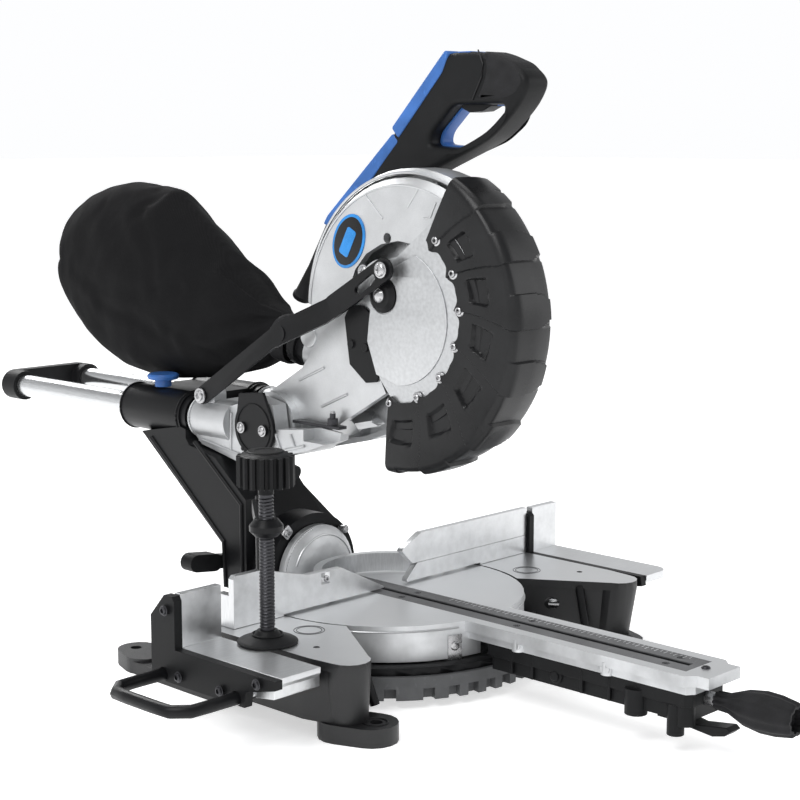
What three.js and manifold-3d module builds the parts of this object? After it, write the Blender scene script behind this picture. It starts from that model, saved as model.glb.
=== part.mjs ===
// Sliding compound mitre saw for a bench top.
//
// Millimetres, +Z up. X runs to the operator's right, Y to the rear, and the turntable turns about
// X = 0, Y = 0, which lies on the face line of the fence. Every assembly has a group that stands at
// its own pivot, so turning or sliding a group moves the assembly as its joint does.

import * as THREE from 'three';
import { mergeVertices } from 'three/addons/utils/BufferGeometryUtils.js';
import Module from 'manifold-3d';

const wasm = await Module();
wasm.setup();

// ---------------------------------------------------------------- driving dimensions

const GAP = 0.35; // clearance between pieces that touch
const CENTRE_SHIFT = [41.5, -54.5, 0]; // moves the turntable pivot off the middle of the whole saw

const TABLE = 72; // height of the machined table above the bench
const TABLE_SKIN = 8;
const WING_X = 212; // half the width over the two wings
const RECESS_R = 136.5;
const TURNTABLE_R = 134;
const TRAY_R = 117;
const DETENT_R = [118, 154];
const SCALE_R = [122, 150];

const ARM_HALF = 31.5;
const ARM_END = -380;
const KERF_HALF = 3.5;
const INSERT_HALF = 19;
const SLOT_FRONT = -358;
const SLOT_REAR = 62;
const INSERT_FRONT = -366;
const INSERT_REAR = 66;
const GRIP_Z = 47;

const FENCE_T = 7;
const BRIDGE_R = [65, 73];
const BEVEL_FACE = 106; // Y of the face that the bevelling column turns on
const BEVEL_R = 49;

const RAIL_X = 45;
const RAIL_Z = 225;
const RAIL_R = 12.5;
const RAIL_FRONT = 186;
const RAIL_REAR = 562;

const HINGE_Y = 128; // head pivot
const HINGE_Z = 225;

const ARBOR_Y = -43;
const ARBOR_Z = 346;
const BLADE_R = 127;
const GUARD_R = 138; // upper guard, at its rim
const SHELL_R = 147; // lower guard, outside
const COVER_Y = -26; // pivot of the lower guard
const COVER_Z = 366;
const LINK_Y = 201; // pivot of the link arm on the carriage
const LINK_Z = 251;
const MOTOR_Y = 22; // motor axis, behind and above the arbor
const MOTOR_Z = 378;
const LOCK_PIN = [ARBOR_Y - 12, ARBOR_Z - 12];

const CLAMP_X = -205;
const CLAMP_Y = -52;
const POST_X = -150;
const POST_Y = 16;

const BAIL_Z = 47;
const BAIL_R = 6;

// ---------------------------------------------------------------- finishes

const finish = (color, roughness,
  metalness) => new THREE.MeshStandardMaterial({ color, roughness, metalness });

const castSilver = finish(0xc4c6c8, 0.5, 0.55);
const machined = finish(0xd2d4d6, 0.38, 0.75);
const blackPaint = finish(0x1c1d1f, 0.5, 0.1);
const blackPlastic = finish(0x242527, 0.6, 0);
const darkShell = finish(0x303133, 0.45, 0);
const blue = finish(0x3b6db8, 0.45, 0);
const steel = finish(0xb9bbbe, 0.3, 0.9);
const grey = finish(0x7f8183, 0.6, 0.2);
const rubber = finish(0x18191a, 0.85, 0);
const cloth = finish(0x1d1d1f, 0.95, 0);

// ---------------------------------------------------------------- shaping helpers

// A closed solid from a three.js geometry.
function solid(geometry) {
  geometry.deleteAttribute('normal');
  geometry.deleteAttribute('uv');
  const merged = mergeVertices(geometry, 1e-4);
  return new wasm.Manifold(new wasm.Mesh({
    numProp: 3,
    vertProperties: new Float32Array(merged.attributes.position.array),
    triVerts: new Uint32Array(merged.index.array),
  }));
}

const join = (first, ...others) => others.reduce((sum, other) => sum.add(other), first);
const cut = (body, ...tools) => tools.reduce((rest, tool) => rest.subtract(tool), body);

// Maps a flat outline's own axes onto the machine's: 'x' reads points as (y, z), 'y' as (x, z), 'z' as (x, y).
const PLANES = {
  x: new THREE.Matrix4().makeBasis(new THREE.Vector3(0, 1, 0), new THREE.Vector3(0, 0, 1),
    new THREE.Vector3(1, 0, 0)),
  y: new THREE.Matrix4().makeBasis(new THREE.Vector3(1, 0, 0), new THREE.Vector3(0, 0, 1),
    new THREE.Vector3(0, -1, 0)),
  z: new THREE.Matrix4(),
};

// A plate of any outline, standing across one axis between two values.
function plate(axis, outline, from, to) {
  const shape = new THREE.Shape(outline.map(([u, v]) => new THREE.Vector2(u, v)));
  const geometry = new THREE.ExtrudeGeometry(shape,
    { depth: to - from, bevelEnabled: false, curveSegments: 10 });
  geometry.applyMatrix4(PLANES[axis]);
  const start = axis === 'y' ? to : from;
  geometry.translate(axis === 'x' ? start : 0, axis === 'y' ? start : 0, axis === 'z' ? start : 0);
  return solid(geometry);
}

function block(low, high) {
  const size = high.map((value, i) => value - low[i]);
  const geometry = new THREE.BoxGeometry(...size);
  geometry.translate(...low.map((value, i) => value + size[i] / 2));
  return solid(geometry);
}

// A round bar between two points, or a cone when a second radius is given.
function bar(from, to, radius, sides = 20, endRadius = radius) {
  const start = new THREE.Vector3(...from);
  const run = new THREE.Vector3(...to).sub(start);
  const geometry = new THREE.CylinderGeometry(endRadius, radius, run.length(), sides);
  geometry.translate(0, run.length() / 2, 0);
  geometry.applyQuaternion(new THREE.Quaternion().setFromUnitVectors(new THREE.Vector3(0, 1, 0),
    run.normalize()));
  geometry.translate(...from);
  return solid(geometry);
}

// Twice the signed area of an outline, positive when its points run anticlockwise.
function signedArea(outline) {
  return outline.reduce((sum, [u, v], i) => {
    const [nextU, nextV] = outline[(i + 1) % outline.length];
    return sum + u * nextV - nextU * v;
  }, 0);
}

// A turned piece: profile points are (radius, distance along the axis from the centre).
function turned(axis, centre, profile, sides = 32) {
  const outward = signedArea(profile) > 0 ? profile : profile.toReversed();
  const geometry = new THREE.LatheGeometry(outward.map(([r, h]) => new THREE.Vector2(r, h)), sides);
  if (axis === 'x') geometry.rotateZ(-Math.PI / 2);
  if (axis === 'z') geometry.rotateX(Math.PI / 2);
  geometry.translate(...centre);
  return solid(geometry);
}

// A bent round rod that follows a list of points with rounded corners.
function bentRod(points, radius, bend, sides = 8) {
  const path = new THREE.CurvePath();
  const corners = points.map((point) => new THREE.Vector3(...point));
  let start = corners[0];
  for (let i = 1; i < corners.length - 1; i++) {
    const before = corners[i].clone().lerp(corners[i - 1], bend / corners[i].distanceTo(corners[i - 1]));
    const after = corners[i].clone().lerp(corners[i + 1], bend / corners[i].distanceTo(corners[i + 1]));
    path.add(new THREE.LineCurve3(start, before));
    path.add(new THREE.QuadraticBezierCurve3(before, corners[i], after));
    start = after;
  }
  path.add(new THREE.LineCurve3(start, corners.at(-1)));
  const section = new THREE.Shape(arc(0, 0, radius, 0, 360 - 360 / sides,
    sides - 1).map(([u, v]) => new THREE.Vector2(u, v)));
  return solid(new THREE.ExtrudeGeometry(section, { steps: 24, extrudePath: path }));
}

// Points on an arc, angles in degrees from the first axis of its plane.
function arc(u, v, radius, fromDeg, toDeg, steps = 12) {
  return Array.from({ length: steps + 1 }, (_, i) => {
    const angle = THREE.MathUtils.degToRad(fromDeg + ((toDeg - fromDeg) * i) / steps);
    return [u + radius * Math.cos(angle), v + radius * Math.sin(angle)];
  });
}

// A sector of a ring, angles measured from the machine's front (-Y), positive to the right.
function ringSector([inner, outer], halfAngle, z0, z1, steps = 28) {
  const outside = arc(0, 0, outer, -90 - halfAngle, -90 + halfAngle, steps);
  const inside = arc(0, 0, inner, -90 + halfAngle, -90 - halfAngle, steps);
  return plate('z', [...outside, ...inside], z0, z1);
}

// An outline pulled in by a margin, for convex and gently hollow outlines.
function inset(outline, margin) {
  const turn = Math.sign(signedArea(outline));
  return outline.map((point, i) => {
    const before = outline.at(i - 1);
    const after = outline[(i + 1) % outline.length];
    const a = unit(point[0] - before[0], point[1] - before[1]);
    const b = unit(after[0] - point[0], after[1] - point[1]);
    const normal = unit(-(a[1] + b[1]), a[0] + b[0]);
    const reach = margin / Math.max(0.35, normal[0] * -a[1] + normal[1] * a[0]);
    return [point[0] + turn * normal[0] * reach, point[1] + turn * normal[1] * reach];
  });
}

function unit(u, v) {
  const length = Math.hypot(u, v);
  return [u / length, v / length];
}

// A slot or link outline: two rounded ends joined by tangent sides.
function slotOutline([u0, v0], [u1, v1], radius, steps = 8) {
  const angle = THREE.MathUtils.radToDeg(Math.atan2(v1 - v0, u1 - u0));
  return [...arc(u1, v1, radius, angle - 90, angle + 90, steps),
    ...arc(u0, v0, radius, angle + 90, angle + 270, steps)];
}

// ---------------------------------------------------------------- the tree of assemblies

const saw = new THREE.Group();
const machine = new THREE.Group();
machine.position.set(...CENTRE_SHIFT);
saw.add(machine);

// Makes a group at a pivot given in the machine's own frame.
function assembly(parent, pivot) {
  const group = new THREE.Group();
  group.userData.pivot = pivot;
  const parentPivot = parent.userData.pivot ?? [0, 0, 0];
  group.position.set(...pivot.map((value, i) => value - parentPivot[i]));
  parent.add(group);
  return group;
}

// Leaves out triangles that merging has folded onto an edge.
function wholeTriangles(index) {
  const corners = Array.from({ length: index.length / 3 }, (_, i) => index.slice(3 * i, 3 * i + 3));
  return corners.filter((corner) => new Set(corner).size === 3).flat();
}

// Adds a solid, drawn in the machine's frame, to an assembly under its own name.
function addPart(group, name, body, material) {
  const { vertProperties, triVerts } = body.getMesh();
  const raw = new THREE.BufferGeometry();
  raw.setAttribute('position', new THREE.Float32BufferAttribute(vertProperties, 3));
  raw.setIndex(Array.from(triVerts));
  const pivot = group.userData.pivot ?? [0, 0, 0];
  raw.translate(-pivot[0], -pivot[1], -pivot[2]);
  const geometry = mergeVertices(raw, 2e-3);
  geometry.setIndex(wholeTriangles(Array.from(geometry.index.array)));
  geometry.computeVertexNormals();
  const mesh = new THREE.Mesh(geometry, material);
  mesh.name = name;
  group.add(mesh);
}

const turntable = assembly(machine, [0, 0, TABLE]);
const column = assembly(turntable, [0, BEVEL_FACE, TABLE]);
const carriage = assembly(column, [0, RAIL_FRONT, RAIL_Z]);
const head = assembly(carriage, [0, HINGE_Y, HINGE_Z]);
const lowerGuard = assembly(head, [0, COVER_Y, COVER_Z]);
const clamp = assembly(machine, [POST_X, POST_Y, TABLE]);
const leftExtension = assembly(machine, [-WING_X, 0, TABLE]);
const rightExtension = assembly(machine, [WING_X, 0, TABLE]);

// ---------------------------------------------------------------- base

// Outline of one wing, side = -1 for the left and +1 for the right.
function wingOutline(side) {
  const tip = arc(190, -139, 19, 0, -165, 7);
  const points = [[WING_X, 24], [WING_X, -112], ...tip, [120, -64], [104, 24]];
  return points.map(([x, y]) => [side * x, y]);
}

// Outline of the wing's walls, which draw in under its rounded front end.
function wallOutline(side) {
  const tip = arc(188, -130, 17, 0, -165, 7);
  const points = [[WING_X, 24], [WING_X, -104], ...tip, [120, -60], [104, 24]];
  return points.map(([x, y]) => [side * x, y]);
}

function baseWing(side) {
  const outline = wingOutline(side);
  const skin = plate('z', outline, TABLE - TABLE_SKIN, TABLE);
  const lobe = wasm.Manifold.hull([
    bar([side * 190, -139, TABLE - 8], [side * 190, -139, TABLE - 2], 19, 24),
    bar([side * 186, -134, 10], [side * 186, -134, 16], 17, 24),
  ]);
  const hollow = plate('z', inset(wallOutline(side), 5), 15, TABLE - TABLE_SKIN + 1);
  const walls = cut(join(plate('z', wallOutline(side), 16, TABLE - 2), lobe), hollow);
  const toe = plate('z', slotOutline([side * 186, -128], [side * 176, -153], 23), 0, 16.5);
  const toeHole = bar([side * 175, -157, -1], [side * 175, -157, 40], 5.5, 16);
  const heel = slotOutline([side * 177, 171], [side * 184, 150], 20);
  const leg = [[205, 10], [205, 60], [203, 150], [165, 165], [150, 80],
    [150, 10]].map(([x, y]) => [side * x, y]);
  const rearLeg = join(plate('z', heel, 0, 15), plate('z', leg, 0, 12));
  const rib = [[22, 10], [22, 50], [64, 14], [64, 10]];
  const rearRib = plate('x', rib, side > 0 ? 178 : -188, side > 0 ? 188 : -178);
  const heelHole = bar([side * 178, 173, -1], [side * 178, 173, 30], 5.5, 16);
  const spoke = block([Math.min(side * 100, side * 200), -64, 12.2],
    [Math.max(side * 100, side * 200), 20, 22]);
  return cut(join(skin, walls, toe, rearLeg, rearRib, spoke), toeHole, heelHole);
}

const recess = bar([0, 0, 22.3], [0, 0, TABLE + 1], RECESS_R, 64);
const tray = bar([0, 0, 12], [0, 0, 22], TRAY_R, 64);
const detentRoom = ringSector([DETENT_R[0] - GAP, DETENT_R[1] + 1], 60, 0, 38);
const railBores = [5, -92].flatMap((y) => [-1,
  1].map((side) => bar([side * 90, y, BAIL_Z], [side * 230, y, BAIL_Z], BAIL_R + 0.4, 12)));
const postHole = bar([POST_X, POST_Y, 10], [POST_X, POST_Y, TABLE + 1], 6.4, 16);
const screwHoles = [-1, 1].map((side) => bar([side * 185, -93.5, 50], [side * 185, -93.5, 80], 3, 12));
const lowerTray = cut(tray, bar([0, 0, 11], [0, 0, 23], 9.4, 20));
const rearClearance = cut(block([-125, 50, 11], [125, 125, 23]), bar([0, 0, 10], [0, 0, 24], 103, 48));
const base = cut(
  join(baseWing(-1), baseWing(1), cut(lowerTray, rearClearance)),
  recess, detentRoom, postHole, ...railBores, ...screwHoles,
);
addPart(machine, 'base_casting', base, blackPaint);

// Detent ring: notches in the outer edge, one for each stop of the mitre lock.
const ring = ringSector(DETENT_R, 57, 8, 30);
const notches = [-45, -31.6, -22.5, -15, -7.5, 0, 7.5, 15, 22.5, 31.6, 45].map((angle) => {
  const direction = THREE.MathUtils.degToRad(angle - 90);
  const tool = new THREE.BoxGeometry(16, 11, 14);
  tool.rotateZ(direction);
  tool.translate(154 * Math.cos(direction), 154 * Math.sin(direction), 12);
  return solid(tool);
});
const ringArms = block([-60, -TRAY_R - 3, 2], [60, -100, 11.6]);
addPart(machine, 'detent_ring', cut(join(ring, ringArms), ...notches), grey);
const scaleRing = cut(ringSector(SCALE_R, 56, 30 + GAP, 37), ringSector([SCALE_R[0] - 1, 137], 58, 34, 38));
addPart(machine, 'mitre_scale', scaleRing, blackPlastic);

// ---------------------------------------------------------------- fence

const fenceTop = TABLE + 49;
const seatZ = TABLE + GAP;
const liftedZ = TABLE + 2.2; // the fence hangs clear of the turning table between the wings
const leftFace = [
  [-199, seatZ], [-199, fenceTop - 3], [-196, fenceTop], [-166, fenceTop], [-108, TABLE + 34],
  [-63, TABLE + 33], [-6, liftedZ + 2], [-6, liftedZ], [-138, liftedZ], [-138, seatZ],
];
const rightFace = [[212, seatZ], [212, TABLE + 19], [42, TABLE + 19], [27, liftedZ + 2], [27, liftedZ],
  [138, liftedZ], [138, seatZ]];
const footOutline = [[-199, 0], [-138.5, 0], [-138.5, 22], [-165, 26], [-199, 26]];
const leftFoot = plate('z', footOutline, seatZ, seatZ + 8);
const rightFoot = plate('z', footOutline.map(([x, y]) => [-x, y]), seatZ, seatZ + 8);
const fenceWeb = (x) => plate('x',
  [[FENCE_T - 1, seatZ], [24, seatZ], [24, seatZ + 10], [FENCE_T - 1, seatZ + 34]], x, x + 5);
const bridge = plate('z', [
  ...arc(0, 0, BRIDGE_R[1], 6, 174, 26), ...arc(0, 0, BRIDGE_R[0], 174, 6, 26),
], liftedZ, TABLE + 21);
const lookHole = block([-90, -1, TABLE + 21], [-79, FENCE_T + 1, TABLE + 32]);
const fence = cut(
  join(
    plate('y', leftFace, 0, FENCE_T), plate('y', rightFace, 0, FENCE_T), leftFoot, rightFoot, bridge,
    block([-199, 0, seatZ], [-190, 24, TABLE + 30]), fenceWeb(-176),
      block([138.5, 0, seatZ], [204, 10, TABLE + 18]),
  ),
  lookHole,
  bar([POST_X, POST_Y, 60], [POST_X, POST_Y, 120], 6.4, 16),
  block([60, FENCE_T - 0.5, TABLE + 14], [206, 12, TABLE + 20]),
  block([12, -1, TABLE + 19], [216, FENCE_T + GAP, TABLE + 30]),
);
addPart(machine, 'fence', fence, castSilver);

const upperFace = [[48, fenceTop], [212, fenceTop], [212, TABLE + 19 + GAP], [36, TABLE + 19 + GAP],
  [20, TABLE + 34], [22, TABLE + 37]];
const upperRail = block([100, FENCE_T - 0.5, TABLE + 14.4], [200, 11.5, TABLE + 30]);
const fixedFence = assembly(machine, [100, 0, TABLE + 19]);
addPart(fixedFence, 'right_fence_upper', cut(join(plate('y', upperFace, 0, FENCE_T), upperRail),
  block([90, -1, TABLE + 10], [210, FENCE_T - 0.2, TABLE + 19.2])), castSilver);
const fenceKnob = turned('y', [150, 12, TABLE + 24],
  [[0, 0], [3, 0], [3, 4], [9, 4], [9, 13], [7, 15], [0, 15]], 20);
addPart(fixedFence, 'fence_lock_knob', fenceKnob, blackPlastic);

// ---------------------------------------------------------------- side extensions

const plateTop = (z) => z + TABLE;
const endOutline = [
  [21, 44], [21, plateTop(26)], [2, plateTop(47)], [-9, plateTop(47)], [-12, plateTop(43)],
  [-12, plateTop(0)], [-141, plateTop(0)], [-141, 64], [-105, 55], [-103, 41], [18, 41],
];
const endHoles = [5, -92].map((y) => bar([-290, y, BAIL_Z], [-260, y, BAIL_Z], BAIL_R + GAP, 12));
const screws = [[-1, 106], [-19, 50], [-74, 50],
  [-121, 66]].map(([y, z]) => bar([-279.5, y, z], [-276, y, z], 4, 14));
addPart(leftExtension, 'left_end_plate',
  join(cut(plate('x', endOutline, -277, -268 - GAP), ...endHoles), ...screws), blackPlastic);

const ell = (face, front, under) => [
  [face, TABLE + 48], [face, TABLE], [front, TABLE], [front, TABLE - 5], [front + 3, TABLE - 9],
  [front + 34, TABLE - 9], [front + 36, under], [front + 40, under], [front + 42, TABLE - 9],
  [face + 8, TABLE - 9], [face + 8, TABLE + 48],
];
addPart(leftExtension, 'left_extension_table', plate('x', ell(-10, -138, TABLE - 24), -268, -222), machined);

const outerBail = [[-162, 5, BAIL_Z], [-338, 5, BAIL_Z], [-338, -92, BAIL_Z], [-162, -92, BAIL_Z]];
addPart(leftExtension, 'left_bail_rod', bentRod(outerBail, BAIL_R, 20), blackPaint);

const innerPlate = [
  [22, 44], [22, plateTop(30)], [8, plateTop(43)], [-1, plateTop(43)], [-4, plateTop(40)],
  [-4, plateTop(0)], [-150, plateTop(0)], [-152, 62], [-118, 56], [-112, 41], [18, 41],
];
const innerHoles = [5, -92].map((y) => bar([200, y, BAIL_Z], [240, y, BAIL_Z], BAIL_R + GAP, 12));
addPart(rightExtension, 'right_inner_plate', cut(plate('x', innerPlate, WING_X + 0.5, 220), ...innerHoles),
  blackPlastic);
const rightEll = cut(plate('x', ell(-1, -152, TABLE - 24), 220 + GAP, 261),
  plate('z', [[262, -153], [262, -136], ...arc(245, -136, 16, 0, -90, 8), [245, -153]], 40, 80));
addPart(rightExtension, 'right_extension_table', rightEll, machined);
const rightRods = bentRod([[252, 5, BAIL_Z], [150, 5, BAIL_Z], [150, -92, BAIL_Z], [252, -92, BAIL_Z]],
  BAIL_R, 20);
const rodEnds = block([248, -98, 41], [254, 11, 53]);
addPart(rightExtension, 'right_guide_rods', join(rightRods, rodEnds), steel);

// ---------------------------------------------------------------- hold-down clamp

const armZ = 176;
const clampArm = cut(
  join(
    bar([POST_X, POST_Y, 26], [POST_X, POST_Y, 186], 6, 16),
    plate('z', slotOutline([POST_X, POST_Y], [CLAMP_X, CLAMP_Y], 9), armZ - 6, armZ + 6),
    turned('z', [CLAMP_X, CLAMP_Y, armZ], [[0, -8], [10, -8], [15, -3], [15, 2], [10, 8], [0, 8]], 24),
  ),
  bar([CLAMP_X, CLAMP_Y, 160], [CLAMP_X, CLAMP_Y, 190], 6.7, 20),
);
addPart(clamp, 'clamp_arm', clampArm, blackPaint);
const clampScrew = assembly(clamp, [CLAMP_X, CLAMP_Y, TABLE]);
addPart(clampScrew, 'clamp_screw', bar([CLAMP_X, CLAMP_Y, 80.4], [CLAMP_X, CLAMP_Y, 212], 6.3, 20), steel);
const KNOB_RIBS = 18;
const knobRib = (i) => {
  const angle = (i * 2 * Math.PI) / KNOB_RIBS;
  return bar([CLAMP_X + 23 * Math.cos(angle), CLAMP_Y + 23 * Math.sin(angle), 213],
    [CLAMP_X + 23 * Math.cos(angle), CLAMP_Y + 23 * Math.sin(angle), 240], 2.6, 6);
};
const knobBody = turned('z', [CLAMP_X, CLAMP_Y, 0],
  [[0, 205.4], [7, 205.4], [7, 212], [22, 213], [22, 240], [17, 243], [0, 243]], 18);
const knobBore = bar([CLAMP_X, CLAMP_Y, 200], [CLAMP_X, CLAMP_Y, 212.4], 6.3 + GAP, 20);
addPart(clampScrew, 'clamp_knob',
  cut(join(knobBody, ...Array.from({ length: KNOB_RIBS }, (_, i) => knobRib(i))), knobBore), blackPlastic);
const padProfile = [[0, 84], [9, 84], [12, 80], [25, 75.5], [27, 73.5], [27, 72.4], [24, 72.4], [20, 74],
  [0, 74]];
const padBore = bar([CLAMP_X, CLAMP_Y, 80], [CLAMP_X, CLAMP_Y, 90], 6.3 + GAP, 20);
addPart(clampScrew, 'clamp_pad', cut(turned('z', [CLAMP_X, CLAMP_Y, 0], padProfile, 22), padBore),
  blackPlastic);

// ---------------------------------------------------------------- turntable and its arm

const armOutline = [
  [-ARM_HALF, -110], [-ARM_HALF, ARM_END + 8], [-ARM_HALF + 8, ARM_END], [-ARM_HALF + 8, ARM_END - 12],
  [ARM_HALF - 8, ARM_END - 12], [ARM_HALF - 8, ARM_END], [ARM_HALF, ARM_END + 8], [ARM_HALF, -110],
];
const armBand = armOutline.map(([x, y]) => [x * 0.86, Math.max(y, ARM_END + 3)]);
const bosses = [-190, -290].flatMap((y) => [-1,
  1].map((side) => bar([side * 26, y, 54.3], [side * 26, y, 66], 6, 14)));
const disc = join(
  bar([0, 0, TABLE - 9], [0, 0, TABLE], TURNTABLE_R, 48),
  cut(bar([0, 0, 38], [0, 0, TABLE - 4], TURNTABLE_R, 48),
    bar([0, 0, 37], [0, 0, TABLE - 9.5], TURNTABLE_R - 7, 48)),
  bar([0, 0, 22.4], [0, 0, TABLE - 4], 30, 32),
  block([-60, 60, 40], [60, 98, TABLE]),
  block([-100, -6, 40], [100, 6, TABLE - 2]),
);
const dome = cut(
  turned('y', [0, 0, TABLE], [[0, 86], [30, 87], [44, 93], [BEVEL_R, 99], [BEVEL_R, BEVEL_FACE],
    [0, BEVEL_FACE]], 48),
  block([-60, 80, 0], [60, 110, 26]),
);
const armTop = join(plate('z', armOutline, TABLE - 10, TABLE), plate('z', armBand, 54.3, TABLE - 5),
  ...bosses);
const kerfRoom = [
  block([-INSERT_HALF - GAP, INSERT_FRONT - GAP, TABLE - 6],
    [INSERT_HALF + GAP, INSERT_REAR + GAP, TABLE + 1]),
  block([-13, SLOT_FRONT - 2, 33], [13, SLOT_REAR, TABLE + 1]),
];
const bolt = bar([0, 0, 5], [0, 0, 40], 9, 20);
const columnRoom = bar([0, BEVEL_FACE, TABLE], [0, 150, TABLE], 61.5, 48);
addPart(turntable, 'turntable', cut(join(disc, dome, armTop), ...kerfRoom, bolt, columnRoom), castSilver);
const pivotBolt = join(bar([0, 0, 9], [0, 0, 33], 8.6, 20), bar([0, 0, 4], [0, 0, 11.6], 15, 6));
addPart(turntable, 'turntable_pivot_bolt', pivotBolt, steel);

// The two kerf boards are one plate with a long slot.
const insert = cut(
  block([-INSERT_HALF, INSERT_FRONT, TABLE - 5.6], [INSERT_HALF, INSERT_REAR, TABLE - 0.2]),
  block([-KERF_HALF, SLOT_FRONT, 60], [KERF_HALF, SLOT_REAR - 2, 80]),
  plate('y', [[0, 64], [10, 64], [KERF_HALF, TABLE - 1.4], [0, TABLE - 1.4]], SLOT_FRONT, SLOT_REAR - 2),
  ...[-340, -175, -30].flatMap((y) => [-11,
    11].map((x) => turned('z', [x, y, TABLE - 0.2], [[0, -2.4], [3.4, -2.4], [3.4, 1], [0, 1]], 12))),
);
addPart(turntable, 'kerf_insert', insert, grey);

const underOutline = [[-26.5, -154], [-26.5, -370], [-22, -376], [22, -376], [26.5, -370], [26.5, -154]];
const underWell = [[-22, -156], [-22, -368], [22, -368], [22, -156]];
const armUnder = cut(
  join(
    plate('z', underOutline, 43, 54), plate('z', inset(underOutline, 3), 30, 44),
    bar([-22, -318, 25], [-22, -318, 48], 10, 18), bar([-19, -357, 15], [-19, -357, 48], 7.5, 18),
    bar([-17.5, -366, 25], [-17.5, -366, 48], 8, 18),
  ),
  plate('z', underWell, 34, 60),
  bar([0, -380, GRIP_Z], [0, -150, GRIP_Z], 6.6, 16),
  plate('x', [[-100, 0], [-155, 0], [-155, 41], [-100, 41]], -60, 60),
);
addPart(turntable, 'arm_underbody', armUnder, blackPlastic);
const gripBody = assembly(turntable, [0, -365, GRIP_Z]);
addPart(gripBody, 'mitre_lock_rod', bar([0, -387, GRIP_Z], [0, -159, GRIP_Z], 6, 16), steel);
const gripProfile = [
  [0, -360], [8, -360], [8.5, -376], [10, -381], [15, -398], [17.5, -420], [17, -440], [14.5, -460],
    [13, -462],
  [11, -462], [10, -452], [0, -450],
].map(([r, y]) => [r, 0.76 * (y + 462) - 462]);
const grip = cut(turned('y', [0, 0, GRIP_Z], gripProfile, 28),
  bar([0, -387.5, GRIP_Z], [0, -379, GRIP_Z], 6 + GAP, 20));
addPart(gripBody, 'mitre_lock_grip', grip, rubber);
const detent = assembly(turntable, [0, -340, 30]);
const detentOutline = [[-330, 29], [-346, 29], [-372, 24], [-400, 28], [-404, 25], [-398, 20], [-386, 17],
  [-368, 19], [-340, 22], [-330, 22]];
addPart(detent, 'detent_lever', plate('x', detentOutline, -8, 8), blackPlastic);

// ---------------------------------------------------------------- bevelling column

const leftWeb = [[134, 56], [134, 152], [205, 208], [236, 215], [300, 203], [172, 102], [170, 56]];
const rightWeb = [[134, 56], [134, 105], [213, 153], [262, 203], [300, 203], [172, 102], [170, 56]];
const middleWeb = [[140, 56], [140, 118], [231, 206], [297, 205], [174, 104], [170, 56]];
const housingFront = 236;
const housingRear = 342;
const railTube = (side) => bar([side * RAIL_X, housingFront, RAIL_Z],
  [side * RAIL_X, housingRear - 8, RAIL_Z], 24, 32);
const tubeEnd = (side) => bar([side * RAIL_X, housingRear - 8, RAIL_Z], [side * RAIL_X, housingRear, RAIL_Z],
  24, 32, 19);
const tubeLip = (side) => bar([side * RAIL_X, 228, RAIL_Z], [side * RAIL_X, housingFront, RAIL_Z], 22, 32);
const railBore = (side) => bar([side * RAIL_X, 200, RAIL_Z], [side * RAIL_X, 360, RAIL_Z], RAIL_R + GAP, 22);
const bushSeat = (side) => bar([side * RAIL_X, 227, RAIL_Z], [side * RAIL_X, 341 + GAP, RAIL_Z], 16 + GAP,
  20);
const columnCasting = cut(
  join(
    plate('x', leftWeb, -67, -45), plate('x', rightWeb, 45, 67), plate('x', middleWeb, -46, 46),
    bar([0, BEVEL_FACE + 1.5, TABLE], [0, 136, TABLE], 60, 48),
    railTube(-1), railTube(1), tubeEnd(-1), tubeEnd(1), tubeLip(-1), tubeLip(1),
    block([-44, 238, 205], [44, 336, 245]),
  ),
  railBore(-1), railBore(1),
  bushSeat(-1), bushSeat(1),
  bar([0, 100, TABLE], [0, 180, TABLE], 7.4, 20),
  block([-70, 100, 0], [70, 240, 42]),
  plate('x', [[150, 183], [160, 185.4], [213, 195.5], [221.7, 197], [227, 204], [227, 270], [150, 270]], -80,
    80),
);
addPart(column, 'bevel_column', columnCasting, blackPaint);
for (const [side, name] of [[-1, 'left'], [1, 'right']]) {
  const bush = cut(
    bar([side * RAIL_X, 228.5, RAIL_Z], [side * RAIL_X, 341, RAIL_Z], 16, 20),
    bar([side * RAIL_X, 220, RAIL_Z], [side * RAIL_X, 350, RAIL_Z], RAIL_R + 0.08, 22),
  );
  addPart(column, `${name}_rail_bush`, bush, grey);
}
const slideLock = assembly(column, [-RAIL_X, 285, RAIL_Z]);
const slideKnob = turned('z', [-RAIL_X, 290, 249.6],
  [[0, 0], [9, 0], [9, 8], [16, 8], [17, 12], [15, 14], [0, 14]], 24);
addPart(slideLock, 'slide_lock_knob', slideKnob, blue);

const bevelBolt = join(bar([0, BEVEL_FACE + GAP, TABLE], [0, 197, TABLE], 7, 18),
  bar([0, 190 + GAP, TABLE], [0, 196, TABLE], 12, 6));
addPart(turntable, 'bevel_pivot_bolt', bevelBolt, steel);
const bevelLock = assembly(column, [0, 180, TABLE]);
const leverHub = cut(
  join(bar([0, 173, TABLE], [0, 190, TABLE], 17, 24),
    plate('y', slotOutline([0, TABLE], [-88, 84], 7), 176, 186),
    plate('y', slotOutline([-74, 82], [-98, 85], 9), 173, 190)),
  bar([0, 160, TABLE], [0, 200, TABLE], 7 + GAP, 18),
);
addPart(bevelLock, 'bevel_lock_lever', leverHub, blackPlastic);

// ---------------------------------------------------------------- slide carriage

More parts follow.
